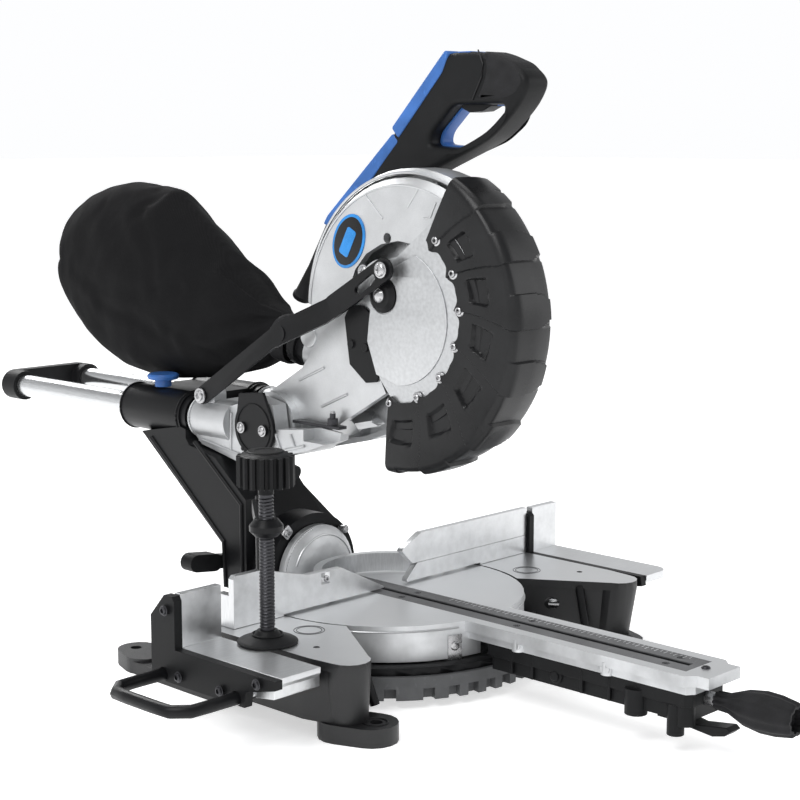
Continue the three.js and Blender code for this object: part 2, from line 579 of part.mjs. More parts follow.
for (const [side, name] of [[-1, 'left'], [1, 'right']]) {
  const rail = cut(
    bar([side * RAIL_X, RAIL_FRONT, RAIL_Z], [side * RAIL_X, RAIL_REAR, RAIL_Z], RAIL_R, 22),
    bar([side * RAIL_X, RAIL_FRONT + 20, RAIL_Z], [side * RAIL_X, RAIL_REAR + 1, RAIL_Z], RAIL_R - 2.5, 18),
  );
  addPart(carriage, `${name}_rail`, rail, steel);
}
const capOutline = [...arc(-RAIL_X, RAIL_Z, 17, 90, 270, 10), ...arc(RAIL_X, RAIL_Z, 17, -90, 90, 10)];
const capPlugs = [-1, 1].map((side) => bar([side * RAIL_X, RAIL_REAR - 16, RAIL_Z],
  [side * RAIL_X, RAIL_REAR + 8, RAIL_Z], 17, 20));
const capSeats = [-1, 1].map((side) => bar([side * RAIL_X, RAIL_REAR - 30, RAIL_Z],
  [side * RAIL_X, RAIL_REAR + GAP, RAIL_Z], RAIL_R + GAP, 22));
addPart(carriage, 'rail_end_cap',
  cut(join(plate('y', capOutline, RAIL_REAR - 4, RAIL_REAR + 9), ...capPlugs), ...capSeats), blackPlastic);

// The pivot bracket grips the front ends of both rails and carries the head's hinge between its ears.
const earOutline = [
  [222, 243], [224, 206], [214, 198], [160, 187], [100, 199], [55, 210], [24, 222], [22, 230], [50, 232],
  [100, 226], [104, 250], [130, 255], [166, 243],
];
const bracketFloor = [[24, 222], [24, 228], [60, 214], [100, 206], [168, 196], [168, 188], [160, 187],
  [100, 199], [55, 210]];
const ear = (side) => plate('x', earOutline, Math.min(side * 38.5, side * 56),
  Math.max(side * 38.5, side * 56));
const bracketBody = join(
  ear(-1), ear(1),
  block([-54, 168, 200], [54, 222, 240]),
  ...[-1, 1].map((side) => bar([side * RAIL_X, 168, RAIL_Z], [side * RAIL_X, 225, RAIL_Z], 21, 32)),
  plate('x', bracketFloor, -50, 50),
  bar([-62, LINK_Y, LINK_Z], [-40, LINK_Y, LINK_Z], 8, 18),
  block([-56, LINK_Y - 8, 235], [-40, LINK_Y + 8, LINK_Z]),
);
const bracket = cut(
  bracketBody,
  ...[-1, 1].map((side) => bar([side * RAIL_X, RAIL_FRONT - GAP, RAIL_Z], [side * RAIL_X, 240, RAIL_Z],
    RAIL_R + GAP, 22)),
  bar([-70, HINGE_Y, HINGE_Z], [70, HINGE_Y, HINGE_Z], 9.4, 24),
  bar([-38, HINGE_Y, HINGE_Z], [38, HINGE_Y, HINGE_Z], 35.5, 48),
  bar([-70, LINK_Y, LINK_Z], [-30, LINK_Y, LINK_Z], 3.4, 14),
  block([-30, 0, 150], [30, 164, 270]),
  ...[-1, 1].map((side) => block([Math.min(side * 33, side * 52), 62, 205],
    [Math.max(side * 33, side * 52), 90, 222])),
  block([-70, 8, 219.5], [-41.5, 60, 240]),
);
addPart(carriage, 'pivot_bracket', bracket, castSilver);
addPart(carriage, 'pivot_pin', bar([-56.6, HINGE_Y, HINGE_Z], [56.6, HINGE_Y, HINGE_Z], 9, 24), steel);
const coverOutline = [...arc(HINGE_Y, HINGE_Z, 29, 150, 390, 24), [HINGE_Y + 22, 258], [HINGE_Y - 14, 262]];
const coverScrews = [-15, 17].map((dy) => bar([-62.5, HINGE_Y + dy, HINGE_Z - 1],
  [-60, HINGE_Y + dy, HINGE_Z - 1], 4.6, 14));
addPart(carriage, 'pivot_cover', join(plate('x', coverOutline, -60.5, -57), ...coverScrews), blackPlastic);

const laserAt = [-46, 97, 186];
const laserBody = join(
  bar([laserAt[0], laserAt[1] + 16, laserAt[2] + 4], [laserAt[0], laserAt[1] - 14, laserAt[2] - 3], 8, 20),
  block([laserAt[0] - 4, laserAt[1] - 5, laserAt[2]], [laserAt[0] + 4, laserAt[1] + 6, 200]),
);
addPart(carriage, 'laser_module', cut(laserBody, plate('x', inset(bracketFloor, -GAP), -70, 70)),
  blackPlastic);
const stopPlate = join(
  block([-41, 26, 232.4], [-30, 92, 235.4]),
  bar([-35.5, 40, 233], [-35.5, 40, 247], 3, 12),
  bar([-35.5, 40, 235], [-35.5, 40, 242], 5.4, 6),
);
addPart(carriage, 'depth_stop', stopPlate, blackPaint);

// ---------------------------------------------------------------- head: casting, blade drive and guards

// The dust leaves the blade chamber along this line, through the spout and into the bag.
const spoutCentre = [0, 124, 306];
const bagAxis = [0, 0.978, 0.208];
const along = (distance) => spoutCentre.map((value, i) => value + bagAxis[i] * distance);

const guardX = [-27, 20];
const guardProfile = [[0, guardX[0]], [122, guardX[0]], [GUARD_R, -10], [GUARD_R, guardX[1]], [0, guardX[1]]];
const guardDisc = turned('x', [0, ARBOR_Y, ARBOR_Z], guardProfile, 56);
const bladeRoom = bar([-19, ARBOR_Y, ARBOR_Z], [14, ARBOR_Y, ARBOR_Z], 132.5, 56);
// The guard is open to the front and below a line that runs through the arbor.
const mouth = [[-300, 400], [-300, 100], [30, 100], [30, 240], [ARBOR_Y + 24, ARBOR_Z - 26],
  [ARBOR_Y - 30, ARBOR_Z - 20], [-120, 440], [-150, 520]];
const armOutlineHead = [
  ...arc(HINGE_Y, HINGE_Z, 34, -120, 60, 12), [92, 286], [60, 330], [20, 336], [-8, 300], [-24, 272],
    [29, 241], [70, 216],
];
const headArm = plate('x', armOutlineHead, -27, 27);
const hub = bar([-36, HINGE_Y, HINGE_Z], [36, HINGE_Y, HINGE_Z], 34, 40);
const arborWall = bar([14, ARBOR_Y, ARBOR_Z], [27, ARBOR_Y, ARBOR_Z], 58, 40);
const coverBoss = bar([-27, COVER_Y, COVER_Z], [-20, COVER_Y, COVER_Z], 13, 24);
const arcSlot = plate('x', [
  [-70, 408], [-56, 415], [-40, 417], [-18, 413], [2, 403], [17, 387], [26, 366], [25, 350],
  [13, 351], [14, 366], [6, 380], [-8, 392], [-24, 399], [-40, 402], [-54, 402], [-64, 399],
], -30, -18);
const castingHoles = [[-26, 419, 5], [6, 385, 3.5],
  [30, 367, 3.5]].map(([y, z, r]) => bar([-30, y, z], [-18, y, z], r, 14));
const armPocket = plate('x', [[112, 258], [64, 312], [20, 318], [-2, 296], [40, 252], [80, 232]], -19, 19);
const spoutSeat = bar(along(-60), along(-24 - GAP), 19, 20);
const spoutRoom = bar(along(-24 - GAP), along(10), 21 + GAP, 20);
const spoutHole = bar(along(-90), along(-20), 14, 18);
const casting = cut(
  join(cut(guardDisc, plate('x', mouth, -60, 60)), headArm, hub, arborWall, coverBoss, spoutSeat),
  bladeRoom, spoutHole, spoutRoom, armPocket, arcSlot, ...castingHoles,
  bar([-40, HINGE_Y, HINGE_Z], [40, HINGE_Y, HINGE_Z], 9.1, 24),
  bar([0, ARBOR_Y, ARBOR_Z], [40, ARBOR_Y, ARBOR_Z], 17.4, 28),
  bar([-30, COVER_Y, COVER_Z], [-15, COVER_Y, COVER_Z], 6.4, 18),
  plate('x', [[20, 200], [-140, 200], [-140, 262], [-24, 262], [20, 236]], -19, 14),
);
addPart(head, 'head_casting', casting, castSilver);

const innerGuardOutline = [...arc(10, 334, 20, 20, 160, 8), [-22, 296], [-14, 282], [0, 280], [22, 296]];
const guardBlock = join(
  plate('x', innerGuardOutline, -30, -27 - GAP),
  ...[[19, 316], [0, 314]].map(([y, z]) => bar([-32, y, z], [-29, y, z], 4.2, 14)),
);
addPart(head, 'guard_stop_plate', guardBlock, blackPlastic);

// Blade with carbide-tipped teeth.
const TEETH = 36;
const bladeOutline = Array.from({ length: TEETH }, (_, i) => {
  const step = 360 / TEETH;
  const at = (deg, r) => arc(ARBOR_Y, ARBOR_Z, r, i * step + deg, i * step + deg, 1)[0];
  return [at(0, BLADE_R), at(1.2, BLADE_R - 10), at(3.2, BLADE_R - 9), at(6, BLADE_R - 2)];
}).flat();
const blade = assembly(head, [0, ARBOR_Y, ARBOR_Z]);
const bladeDisc = cut(plate('x', bladeOutline, -1.3, 1.3),
  bar([-5, ARBOR_Y, ARBOR_Z], [5, ARBOR_Y, ARBOR_Z], 15, 24));
addPart(blade, 'saw_blade', bladeDisc, steel);
const arborRing = (x0, x1, r, sides) => bar([x0, ARBOR_Y, ARBOR_Z], [x1, ARBOR_Y, ARBOR_Z], r, sides);
const spindleBody = join(arborRing(1.7, 7, 24, 22), arborRing(-1.6, 40, 14.6, 20),
  arborRing(7, 13.6, 17, 20));
addPart(blade, 'spindle', cut(spindleBody, arborRing(-3, 12, 5.4, 14)), steel);
const flange = cut(arborRing(-6, -1.7, 24, 22), arborRing(-9, 0, 5.4, 14));
addPart(blade, 'outer_flange', flange, steel);
addPart(blade, 'arbor_bolt', join(arborRing(-12, -6.3, 10, 6), arborRing(-7, 10, 5, 14)), steel);

// Belt or gear case and motor on the right of the blade.
const gearCase = cut(
  join(
    plate('x', slotOutline([ARBOR_Y, ARBOR_Z], [MOTOR_Y, MOTOR_Z], 44, 14), 27 + GAP, 64),
    bar([64, MOTOR_Y, MOTOR_Z], [74, MOTOR_Y, MOTOR_Z], 42, 36),
  ),
  bar([10, ARBOR_Y, ARBOR_Z], [50, ARBOR_Y, ARBOR_Z], 15.2, 28),
  bar([58, ...LOCK_PIN], [66, ...LOCK_PIN], 9 + GAP, 20),
);
addPart(head, 'gear_case', gearCase, castSilver);
const motorSlots = Array.from({ length: 10 }, (_, i) => {
  const angle = (i * Math.PI) / 5;
  const slots = new THREE.BoxGeometry(34, 4.5, 9);
  slots.rotateX(angle);
  slots.translate(158, MOTOR_Y - 41 * Math.sin(angle), MOTOR_Z + 41 * Math.cos(angle));
  return solid(slots);
});
const motorProfile = [[0, 74 + GAP], [42, 74 + GAP], [42, 140], [43.5, 144], [43.5, 178], [38, 186],
  [0, 186]];
addPart(head, 'motor_housing', cut(turned('x', [0, MOTOR_Y, MOTOR_Z], motorProfile, 36), ...motorSlots),
  blackPlastic);
for (const [side, name] of [[-1, 'front'], [1, 'rear']]) {
  const cap = bar([112, MOTOR_Y + side * 42.6, MOTOR_Z], [112, MOTOR_Y + side * 47.5, MOTOR_Z], 9, 20);
  addPart(head, `${name}_brush_cap`, cap, blackPlastic);
}
const spindleLock = assembly(head, [60, ARBOR_Y, ARBOR_Z]);
addPart(spindleLock, 'spindle_lock_button', bar([64 + GAP, ...LOCK_PIN], [73, ...LOCK_PIN], 9, 20),
  blackPlastic);
const gland = turned('x', [0, MOTOR_Y, MOTOR_Z],
  [[0, 186 + GAP], [9, 186 + GAP], [7, 198], [5.5, 212], [4, 212], [4, 190], [0, 190]], 18);
addPart(head, 'cord_gland', gland, rubber);

// Dust spout at the rear of the blade chamber.
const spoutBore = bar(along(-70), along(20), 14, 18);
const spout = cut(join(bar(along(-24), along(14), 17, 20), bar(along(-12), along(-2), 21, 20)), spoutBore);
addPart(head, 'dust_spout', spout, blackPlastic);

// ---------------------------------------------------------------- handle

const handleX = [27 + GAP, 62];
const handleOutline = [
  [120, 436], [68, 448], [18, 520], [-37, 583], [-48, 590], [-80, 591], [-106, 586], [-134, 577],
  [-146, 568], [-148, 558], [-136, 541], [-108, 518], [-88, 509], [-30, 486], [10, 466], [64, 420], [96, 410],
];
const handleHole = [[-54, 541], [-26, 513], [-52, 516], [-80, 524], [-106, 538], [-104, 542]];
const handleShape = cut(plate('x', handleOutline, ...handleX), plate('x', handleHole, 0, 100));
const spineOutline = [
  [122, 442], [72, 452], [26, 526], [-38, 590], [-48, 594], [-46, 585], [12, 523], [68, 445], [116, 435],
];
const handleRoom = [
  bar([0, ARBOR_Y, ARBOR_Z], [60, ARBOR_Y, ARBOR_Z], GUARD_R - 45, 48),
  block([30, -78, 571], [58, -60, 600]),
  block([34, -100, 537], [54, -62, 556]),
];
const handleMount = plate('x', [[96, 410], [60, 380], [30, 400], [10, 462], [64, 440]], handleX[0], 50);
const motorRoom = plate('x', slotOutline([ARBOR_Y, ARBOR_Z], [MOTOR_Y, MOTOR_Z], 44.6, 14), 20, 90);
addPart(head, 'handle', cut(join(handleShape, handleMount), ...handleRoom, motorRoom,
  bar([0, ARBOR_Y, ARBOR_Z], [handleX[0] - 0.1, ARBOR_Y, ARBOR_Z], GUARD_R + 1, 48)), blackPlastic);
addPart(head, 'handle_spine', cut(plate('x', spineOutline, handleX[0] + 2, handleX[1] - 2), handleShape,
  handleMount), blue);
const lockOff = assembly(head, [44, -69, 588]);
addPart(lockOff, 'lock_off_button', block([31, -77, 575.4], [57, -61, 591]), blue);
const trigger = assembly(head, [44, -70, 548]);
addPart(trigger, 'trigger', plate('x',
  [[-62.5, 551], [-62.5, 539], [-72, 535], [-88, 536], [-99.5, 541], [-99.5, 551]], 35, 53), blackPlastic);

// ---------------------------------------------------------------- lower guard

const discX = [-32, -30.4];
const discOutline = [
  ...arc(ARBOR_Y, ARBOR_Z + 2, 104, 118, 262, 30), [ARBOR_Y + 22, 286], [ARBOR_Y + 32, 318],
    [ARBOR_Y + 28, 344],
  ...arc(COVER_Y, COVER_Z, 34, 0, 110, 10),
];
const coverBore = bar([-60, COVER_Y, COVER_Z], [0, COVER_Y, COVER_Z], 6.1, 20);
addPart(lowerGuard, 'guard_disc', cut(plate('x', discOutline, ...discX), coverBore), machined);
const shellX = [-34, 20];
const shellAngles = [118, 275]; // from the rear, through the top, to the bottom
const sector = (inner, outer, x0, x1, a0 = shellAngles[0], a1 = shellAngles[1], steps = 21) =>
  plate('x', [...arc(ARBOR_Y, ARBOR_Z, outer, a0, a1, steps),
    ...arc(ARBOR_Y, ARBOR_Z, inner, a1, a0, steps)], x0, x1);
const segments = Array.from({ length: 7 }, (_, i) => {
  const step = (shellAngles[1] - shellAngles[0]) / 7;
  const a0 = shellAngles[0] + i * step;
  return sector(SHELL_R - 4, SHELL_R + (i % 2 ? 0.5 : 2.5), -24, 0, a0, a0 + step, 3);
});
const shellWindows = Array.from({ length: 7 }, (_, i) => {
  const a0 = shellAngles[0] + 11 + i * 22;
  return sector(104, 122, shellX[0] - 1, shellX[0] + 2.8, a0, a0 + 11, 2);
});
// The band's section: a side face, a rounded outer edge and a crown that falls away to the right.
const bandProfile = [
  [SHELL_R - 12, shellX[0]], [SHELL_R, -26], [SHELL_R, -4], [142.2, shellX[1]], [138.9, shellX[1]],
  [SHELL_R - 6, -4], [SHELL_R - 6, -24], [SHELL_R - 16, discX[0] - GAP],
];
const band = turned('x', [0, ARBOR_Y, ARBOR_Z], [...bandProfile, bandProfile[0]], 60);
const shellBody = join(
  band.intersect(sector(60, SHELL_R + 10, -60, 60)),
  sector(80, SHELL_R - 11, shellX[0], discX[0] - GAP),
  ...segments,
);
addPart(lowerGuard, 'guard_shell', cut(shellBody, ...shellWindows), darkShell);
const coverHead = turned('x', [-34, COVER_Y, COVER_Z], [[0, -3.4], [12, -3.4], [17, 0], [17, 1.6], [0, 1.6]],
  28);
const coverBolt = join(coverHead, bar([-40, COVER_Y, COVER_Z], [-20, COVER_Y, COVER_Z], 5.8, 18));
addPart(lowerGuard, 'guard_pivot_bolt', coverBolt, blackPaint);

// Link arm that draws the lower guard back as the head comes down.
const link = assembly(carriage, [-60, LINK_Y, LINK_Z]);
const slotPin = [-38, 391];
const linkRear = plate('x', slotOutline([LINK_Y, LINK_Z], [84, 324], 9), -66.5, -62.5);
const linkFront = plate('x', slotOutline([30, 352], slotPin, 11), -46, -42);
const linkStep = (() => {
  const shape = slotOutline([90, 320], [26, 354], 10.4);
  const slab = plate('x', shape, -66.5, -42);
  const ramp = plate('z', [[-66.5, 95], [-62.5, 95], [-62.5, 82], [-42, 40], [-42, 15], [-46, 15], [-46, 38],
    [-66.5, 80]], 280, 400);
  return slab.intersect(ramp);
})();
const linkSlot = plate('x', slotOutline([-6, 370], [-24, 382], 4.6), -60, -30);
const endScrew = bar([-48.5, ...slotPin], [-45, ...slotPin], 7, 18);
const linkBody = cut(join(linkRear, linkStep, linkFront, endScrew), linkSlot,
  bar([-70, LINK_Y, LINK_Z], [-60, LINK_Y, LINK_Z], 4.4, 16));
addPart(link, 'link_arm', linkBody, blackPaint);
const linkPin = join(bar([-69.5, LINK_Y, LINK_Z], [-67, LINK_Y, LINK_Z], 8, 20),
  bar([-68, LINK_Y, LINK_Z], [-40, LINK_Y, LINK_Z], 3, 14));
addPart(carriage, 'link_pivot_pin', linkPin, steel);

// ---------------------------------------------------------------- dust bag

const bagSections = [
  // distance from the spout, half height, half width, lift of the section's centre
  [8, 20, 20, 0], [40, 26, 28, -8], [90, 46, 42, -10], [160, 76, 50, -5], [230, 96, 52, -5],
  [300, 95, 52, -3], [350, 80, 48, -7], [385, 57, 38, -10], [398, 34, 22, -14],
];
function bagSolid() {
  const sides = 16;
  const rows = bagSections.map(([distance, halfHeight, halfWidth, lift]) => {
    const [, y, z] = along(distance);
    return Array.from({ length: sides }, (_, i) => {
      const angle = (i * 2 * Math.PI) / sides;
      return [halfWidth * Math.cos(angle), y - 0.2 * halfHeight * Math.sin(angle),
        z + lift + halfHeight * Math.sin(angle)];
    });
  });
  const vertices = [...rows.flat(), ...[0, -1].map((i) => {
    const row = rows.at(i);
    return [0, 1, 2].map((k) => row.reduce((sum, point) => sum + point[k], 0) / sides);
  })];
  const triangles = [];
  for (let r = 0; r < rows.length - 1; r++) {
    for (let i = 0; i < sides; i++) {
      const [a, b] = [r * sides + i, r * sides + ((i + 1) % sides)];
      triangles.push(a, b + sides, b, a, a + sides, b + sides);
    }
  }
  const [first, last] = [rows.length * sides, rows.length * sides + 1];
  for (let i = 0; i < sides; i++) {
    const next = (i + 1) % sides;
    const lastRow = (rows.length - 1) * sides;
    triangles.push(first, i, next, last, lastRow + next, lastRow + i);
  }
  const geometry = new THREE.BufferGeometry();
  geometry.setAttribute('position', new THREE.Float32BufferAttribute(vertices.flat(), 3));
  geometry.setIndex(triangles);
  return solid(geometry);
}
const bagRoom = join(bar(along(-60), along(14 + GAP), 17 + GAP, 20), bar(along(-20), along(2 + GAP), 23, 20));
addPart(head, 'dust_bag', cut(bagSolid(), bagRoom), cloth);

export default saw;
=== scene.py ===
"""Dresses a packed sliding mitre saw: its finishes, its cloth bag and its fine detail."""

import logging
import math
from collections.abc import Sequence
from dataclasses import dataclass, field
from enum import Enum

import bmesh
import bpy
from mathutils import Euler, Matrix, Vector, noise


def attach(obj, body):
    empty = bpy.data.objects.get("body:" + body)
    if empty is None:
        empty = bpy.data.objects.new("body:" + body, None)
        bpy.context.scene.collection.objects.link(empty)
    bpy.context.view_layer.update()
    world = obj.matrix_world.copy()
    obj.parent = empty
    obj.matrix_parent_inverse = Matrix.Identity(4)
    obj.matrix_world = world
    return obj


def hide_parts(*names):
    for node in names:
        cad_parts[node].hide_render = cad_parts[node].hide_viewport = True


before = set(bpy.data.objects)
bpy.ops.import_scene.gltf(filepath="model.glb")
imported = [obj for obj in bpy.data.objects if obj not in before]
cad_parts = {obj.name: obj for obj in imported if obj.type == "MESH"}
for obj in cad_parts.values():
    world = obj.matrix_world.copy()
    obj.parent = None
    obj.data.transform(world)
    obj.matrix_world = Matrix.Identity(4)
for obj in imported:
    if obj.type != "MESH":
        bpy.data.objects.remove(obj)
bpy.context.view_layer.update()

log = logging.getLogger("mitre_saw")

Point = tuple[float, float, float]
Outline = list[tuple[float, float]]

# The drawing frame is in millimetres, with its origin on the turntable's axis.
# The row frame is shifted from it. The pairs below are (y, z).
SHIFT = Vector((41.5, -54.5, 0.0))
MM = 0.001
TABLE = 72.0
ARBOR = (-43.0, 346.0)
COVER = (-26.0, 366.0)
HINGE = (128.0, 225.0)
RAIL_X = 45.0
RAIL_Z = 225.0


def place(x: float, y: float, z: float) -> Vector:
    """Turns a point of the drawing frame, in millimetres, into the row frame, in metres."""
    return (Vector((x, y, z)) + SHIFT) * MM


# ---------------------------------------------------------------- shader building


class Wire:
    """A shader socket that takes part in Python arithmetic."""

    def __init__(self, paint: "Paint", socket: bpy.types.NodeSocket) -> None:
        """Keeps the socket and the material it belongs to."""
        self.paint = paint
        self.socket = socket

    def _math(self, operation: str, *values: "Wire | float") -> "Wire":
        """Adds one Math node.

        Args:
            operation: the Math node's operation.
            values: its inputs, in order.

        Returns:
            The node's result.
        """
        return self.paint.node("Math", {"operation": operation}, dict(enumerate(values)))

    def __add__(self, other: "Wire | float") -> "Wire":
        """Sum of two values."""
        return self._math("ADD", self, other)

    def __radd__(self, other: float) -> "Wire":
        """Sum of a number and this value."""
        return self._math("ADD", other, self)

    def __sub__(self, other: "Wire | float") -> "Wire":
        """This value less another."""
        return self._math("SUBTRACT", self, other)

    def __rsub__(self, other: float) -> "Wire":
        """A number less this value."""
        return self._math("SUBTRACT", other, self)

    def __mul__(self, other: "Wire | float") -> "Wire":
        """Product of two values."""
        return self._math("MULTIPLY", self, other)

    def __rmul__(self, other: float) -> "Wire":
        """Product of a number and this value."""
        return self._math("MULTIPLY", other, self)

    def __gt__(self, other: "Wire | float") -> "Wire":
        """One where this value is above another, else nought."""
        return self._math("GREATER_THAN", self, other)

    def sine(self) -> "Wire":
        """Sine of this value."""
        return self._math("SINE", self)

    def spread(self, low: float, high: float, to_low: float = 0.0, to_high: float = 1.0) -> "Wire":
        """Maps a range of this value onto another, held at its ends.

        Args:
            low: value that becomes to_low.
            high: value that becomes to_high.
            to_low: result at the low end.
            to_high: result at the high end.

        Returns:
            The mapped value.
        """
        values = {"Value": self, "From Min": low, "From Max": high, "To Min": to_low, "To Max": to_high}
        return self.paint.node("MapRange", {}, values)


class Paint:
    """One material under construction."""

    def __init__(self, name: str) -> None:
        """Starts a material with a plain Principled shader.

        Args:
            name: the material's name.
        """
        self.material = bpy.data.materials.new(name)
        self.material.use_nodes = True
        self.tree = self.material.node_tree
        self.shader = self.tree.nodes["Principled BSDF"]

    def _fill(self, socket: bpy.types.NodeSocket, value: object) -> None:
        """Links a wire to a socket, or sets the socket's own value.

        Args:
            socket: the socket.
            value: a wire, a colour or a number.
        """
        if isinstance(value, Wire):
            self.tree.links.new(value.socket, socket)
        elif isinstance(value, tuple) and len(value) == 3 and socket.type == "RGBA":
            socket.default_value = (*value, 1.0)
        else:
            socket.default_value = value

    def node(self, kind: str, settings: dict, sockets: dict, out: str | int = 0) -> Wire:
        """Adds any node.

        Args:
            kind: the node's type without its ShaderNode prefix.
            settings: attributes to set first; "stops" fills a colour ramp.
            sockets: values or wires by socket name or index.
            out: the output to hand back.

        Returns:
            The chosen output.
        """
        made = self.tree.nodes.new(f"ShaderNode{kind}")
        for key, value in settings.items():
            if key != "stops":
                setattr(made, key, value)
                continue
            ramp = made.color_ramp.elements
            while len(ramp) < len(value):
                ramp.new(1.0)
            for element, (position, shade) in zip(ramp, value):
                element.position = position
                element.color = (*shade, 1.0)
        for key, value in sockets.items():
            self._fill(made.inputs[key], value)
        return Wire(self, made.outputs[out])

    def base(self, name: str, value: object) -> None:
        """Sets or links one socket of the Principled shader."""
        self._fill(self.shader.inputs[name], value)

    def place(self) -> Wire:
        """Position on the object, in metres."""
        return self.node("TexCoord", {}, {}, "Object")

    def noise(self, scale: float, detail: float = 3.0, stretch: Point = (1.0, 1.0, 1.0)) -> Wire:
        """Soft random pattern.

        Args:
            scale: features per metre.
            detail: octaves.
            stretch: scale along each axis.

        Returns:
            The pattern, nought to one.
        """
        where = self.node("Mapping", {}, {"Vector": self.place(), "Scale": stretch})
        return self.node("TexNoise", {}, {"Vector": where, "Scale": scale, "Detail": detail}, "Fac")

    def blend(self, mask: Wire, first: object, second: object) -> Wire:
        """Mixes two colours by a mask.

        Args:
            mask: nought gives the first colour, one the second.
            first: a colour or a wire.
            second: a colour or a wire.

        Returns:
            The mixed colour.
        """
        return self.node("Mix", {"data_type": "RGBA"}, {0: mask, 6: first, 7: second}, 2)

    def relief(self, *layers: tuple[Wire, float]) -> None:
        """Stacks bump layers onto the shader's normal.

        Args:
            layers: pairs of a height pattern and its depth in metres.
        """
        normal = None
        for height, depth in layers:
            sockets = {"Height": height, "Distance": depth, "Strength": 1.0}
            if normal is not None:
                sockets["Normal"] = normal
            normal = self.node("Bump", {}, sockets)
        self.base("Normal", normal)


def shade(color: Point, factor: float) -> Point:
    """Returns a colour made lighter or darker by a factor."""
    return tuple(min(1.0, channel * factor) for channel in color)


# ---------------------------------------------------------------- finishes


@dataclass(frozen=True)
class CastMetal:
    """Cast aluminium with a fine grainy skin."""

    color: Point = (0.56, 0.57, 0.58)
    metallic: float = 0.75
    roughness: float = 0.4
    grain: float = 0.00012

    def make(self, name: str) -> bpy.types.Material:
        """Builds the material.

        Args:
            name: the material's name.

        Returns:
            The material.
        """
        paint = Paint(name)
        cloud = paint.noise(28.0, 4.0)
        grain = paint.noise(1500.0, 2.0)
        tint = paint.blend(cloud.spread(0.3, 0.7), shade(self.color, 0.86), shade(self.color, 1.08))
        pits = grain.spread(0.35, 0.75, 0.0, 0.35)
        paint.base("Base Color", paint.blend(pits, tint, shade(self.color, 0.7)))
        paint.base("Metallic", self.metallic)
        uneven = cloud + grain * 0.6
        paint.base("Roughness", uneven.spread(0.4, 1.1, self.roughness - 0.07, self.roughness + 0.1))
        paint.relief((grain, self.grain), (cloud, 0.0005))
        return paint.material


@dataclass(frozen=True)
class BrushedMetal:
    """Drawn or ground metal with fine lines along one axis."""

    color: Point = (0.62, 0.63, 0.64)
    lines: Point = (20.0, 1.0, 20.0)
    roughness: float = 0.28
    metallic: float = 0.95

    def make(self, name: str) -> bpy.types.Material:
        """Builds the material.

        Args:
            name: the material's name.

        Returns:
            The material.
        """
        paint = Paint(name)
        lines = paint.noise(90.0, 3.0, self.lines)
        cloud = paint.noise(22.0, 3.0)
        tint = paint.blend(lines.spread(0.3, 0.7), shade(self.color, 0.88), shade(self.color, 1.06))
        paint.base("Base Color", tint)
        paint.base("Metallic", self.metallic)
        uneven = lines * 0.5 + cloud * 0.5
        paint.base("Roughness", uneven.spread(0.3, 0.7, self.roughness - 0.06, self.roughness + 0.1))
        paint.relief((lines, 0.00003))
        return paint.material


@dataclass(frozen=True)
class MilledCasting:
    """Painted or raw casting whose flat table faces are milled in arcs."""

    sides: Point = (0.0065, 0.0067, 0.0075)
    top: Point = (0.63, 0.64, 0.65)
    side_metal: float = 0.0
    centre: Vector = field(default_factory=lambda: place(0, 0, 0))
    floor: float = 0.0705

    def make(self, name: str) -> bpy.types.Material:
        """Builds the material.

        Args:
            name: the material's name.

        Returns:
            The material.
        """
        paint = Paint(name)
        normal = paint.node("NewGeometry", {}, {}, "Normal")
        up = paint.node("SeparateXYZ", {}, {"Vector": normal}, "Z")
        height = paint.node("SeparateXYZ", {}, {"Vector": paint.place()}, "Z")
        mask = (up > 0.9) * (height > self.floor)
        axis = (*self.centre.xy, 0.0)
        offset = paint.node("VectorMath", {"operation": "SUBTRACT"}, {0: paint.place(), 1: axis})
        flat = paint.node("VectorMath", {"operation": "MULTIPLY"}, {0: offset, 1: (1.0, 1.0, 0.0)})
        radius = paint.node("VectorMath", {"operation": "LENGTH"}, {0: flat}, "Value")
        arcs = (radius * 3800.0 + paint.noise(14.0, 2.0) * 3.0).sine().spread(-1.0, 1.0)
        cloud = paint.noise(26.0, 4.0)
        grain = paint.noise(1300.0, 2.0)
        milled = paint.blend(arcs * 0.6 + cloud * 0.4, shade(self.top, 0.9), shade(self.top, 1.05))
        rough_side = paint.blend(cloud.spread(0.3, 0.7), shade(self.sides, 0.8), shade(self.sides, 1.3))
        paint.base("Base Color", paint.blend(mask, rough_side, milled))
        paint.base("Metallic", mask.spread(0.0, 1.0, self.side_metal, 0.85))
        paint.base("Roughness", mask * (arcs * 0.08 + 0.3) + (1 - mask) * (grain * 0.2 + 0.36))
        paint.relief((arcs * mask, 0.00002), (grain * (1 - mask), 0.00012))
        return paint.material


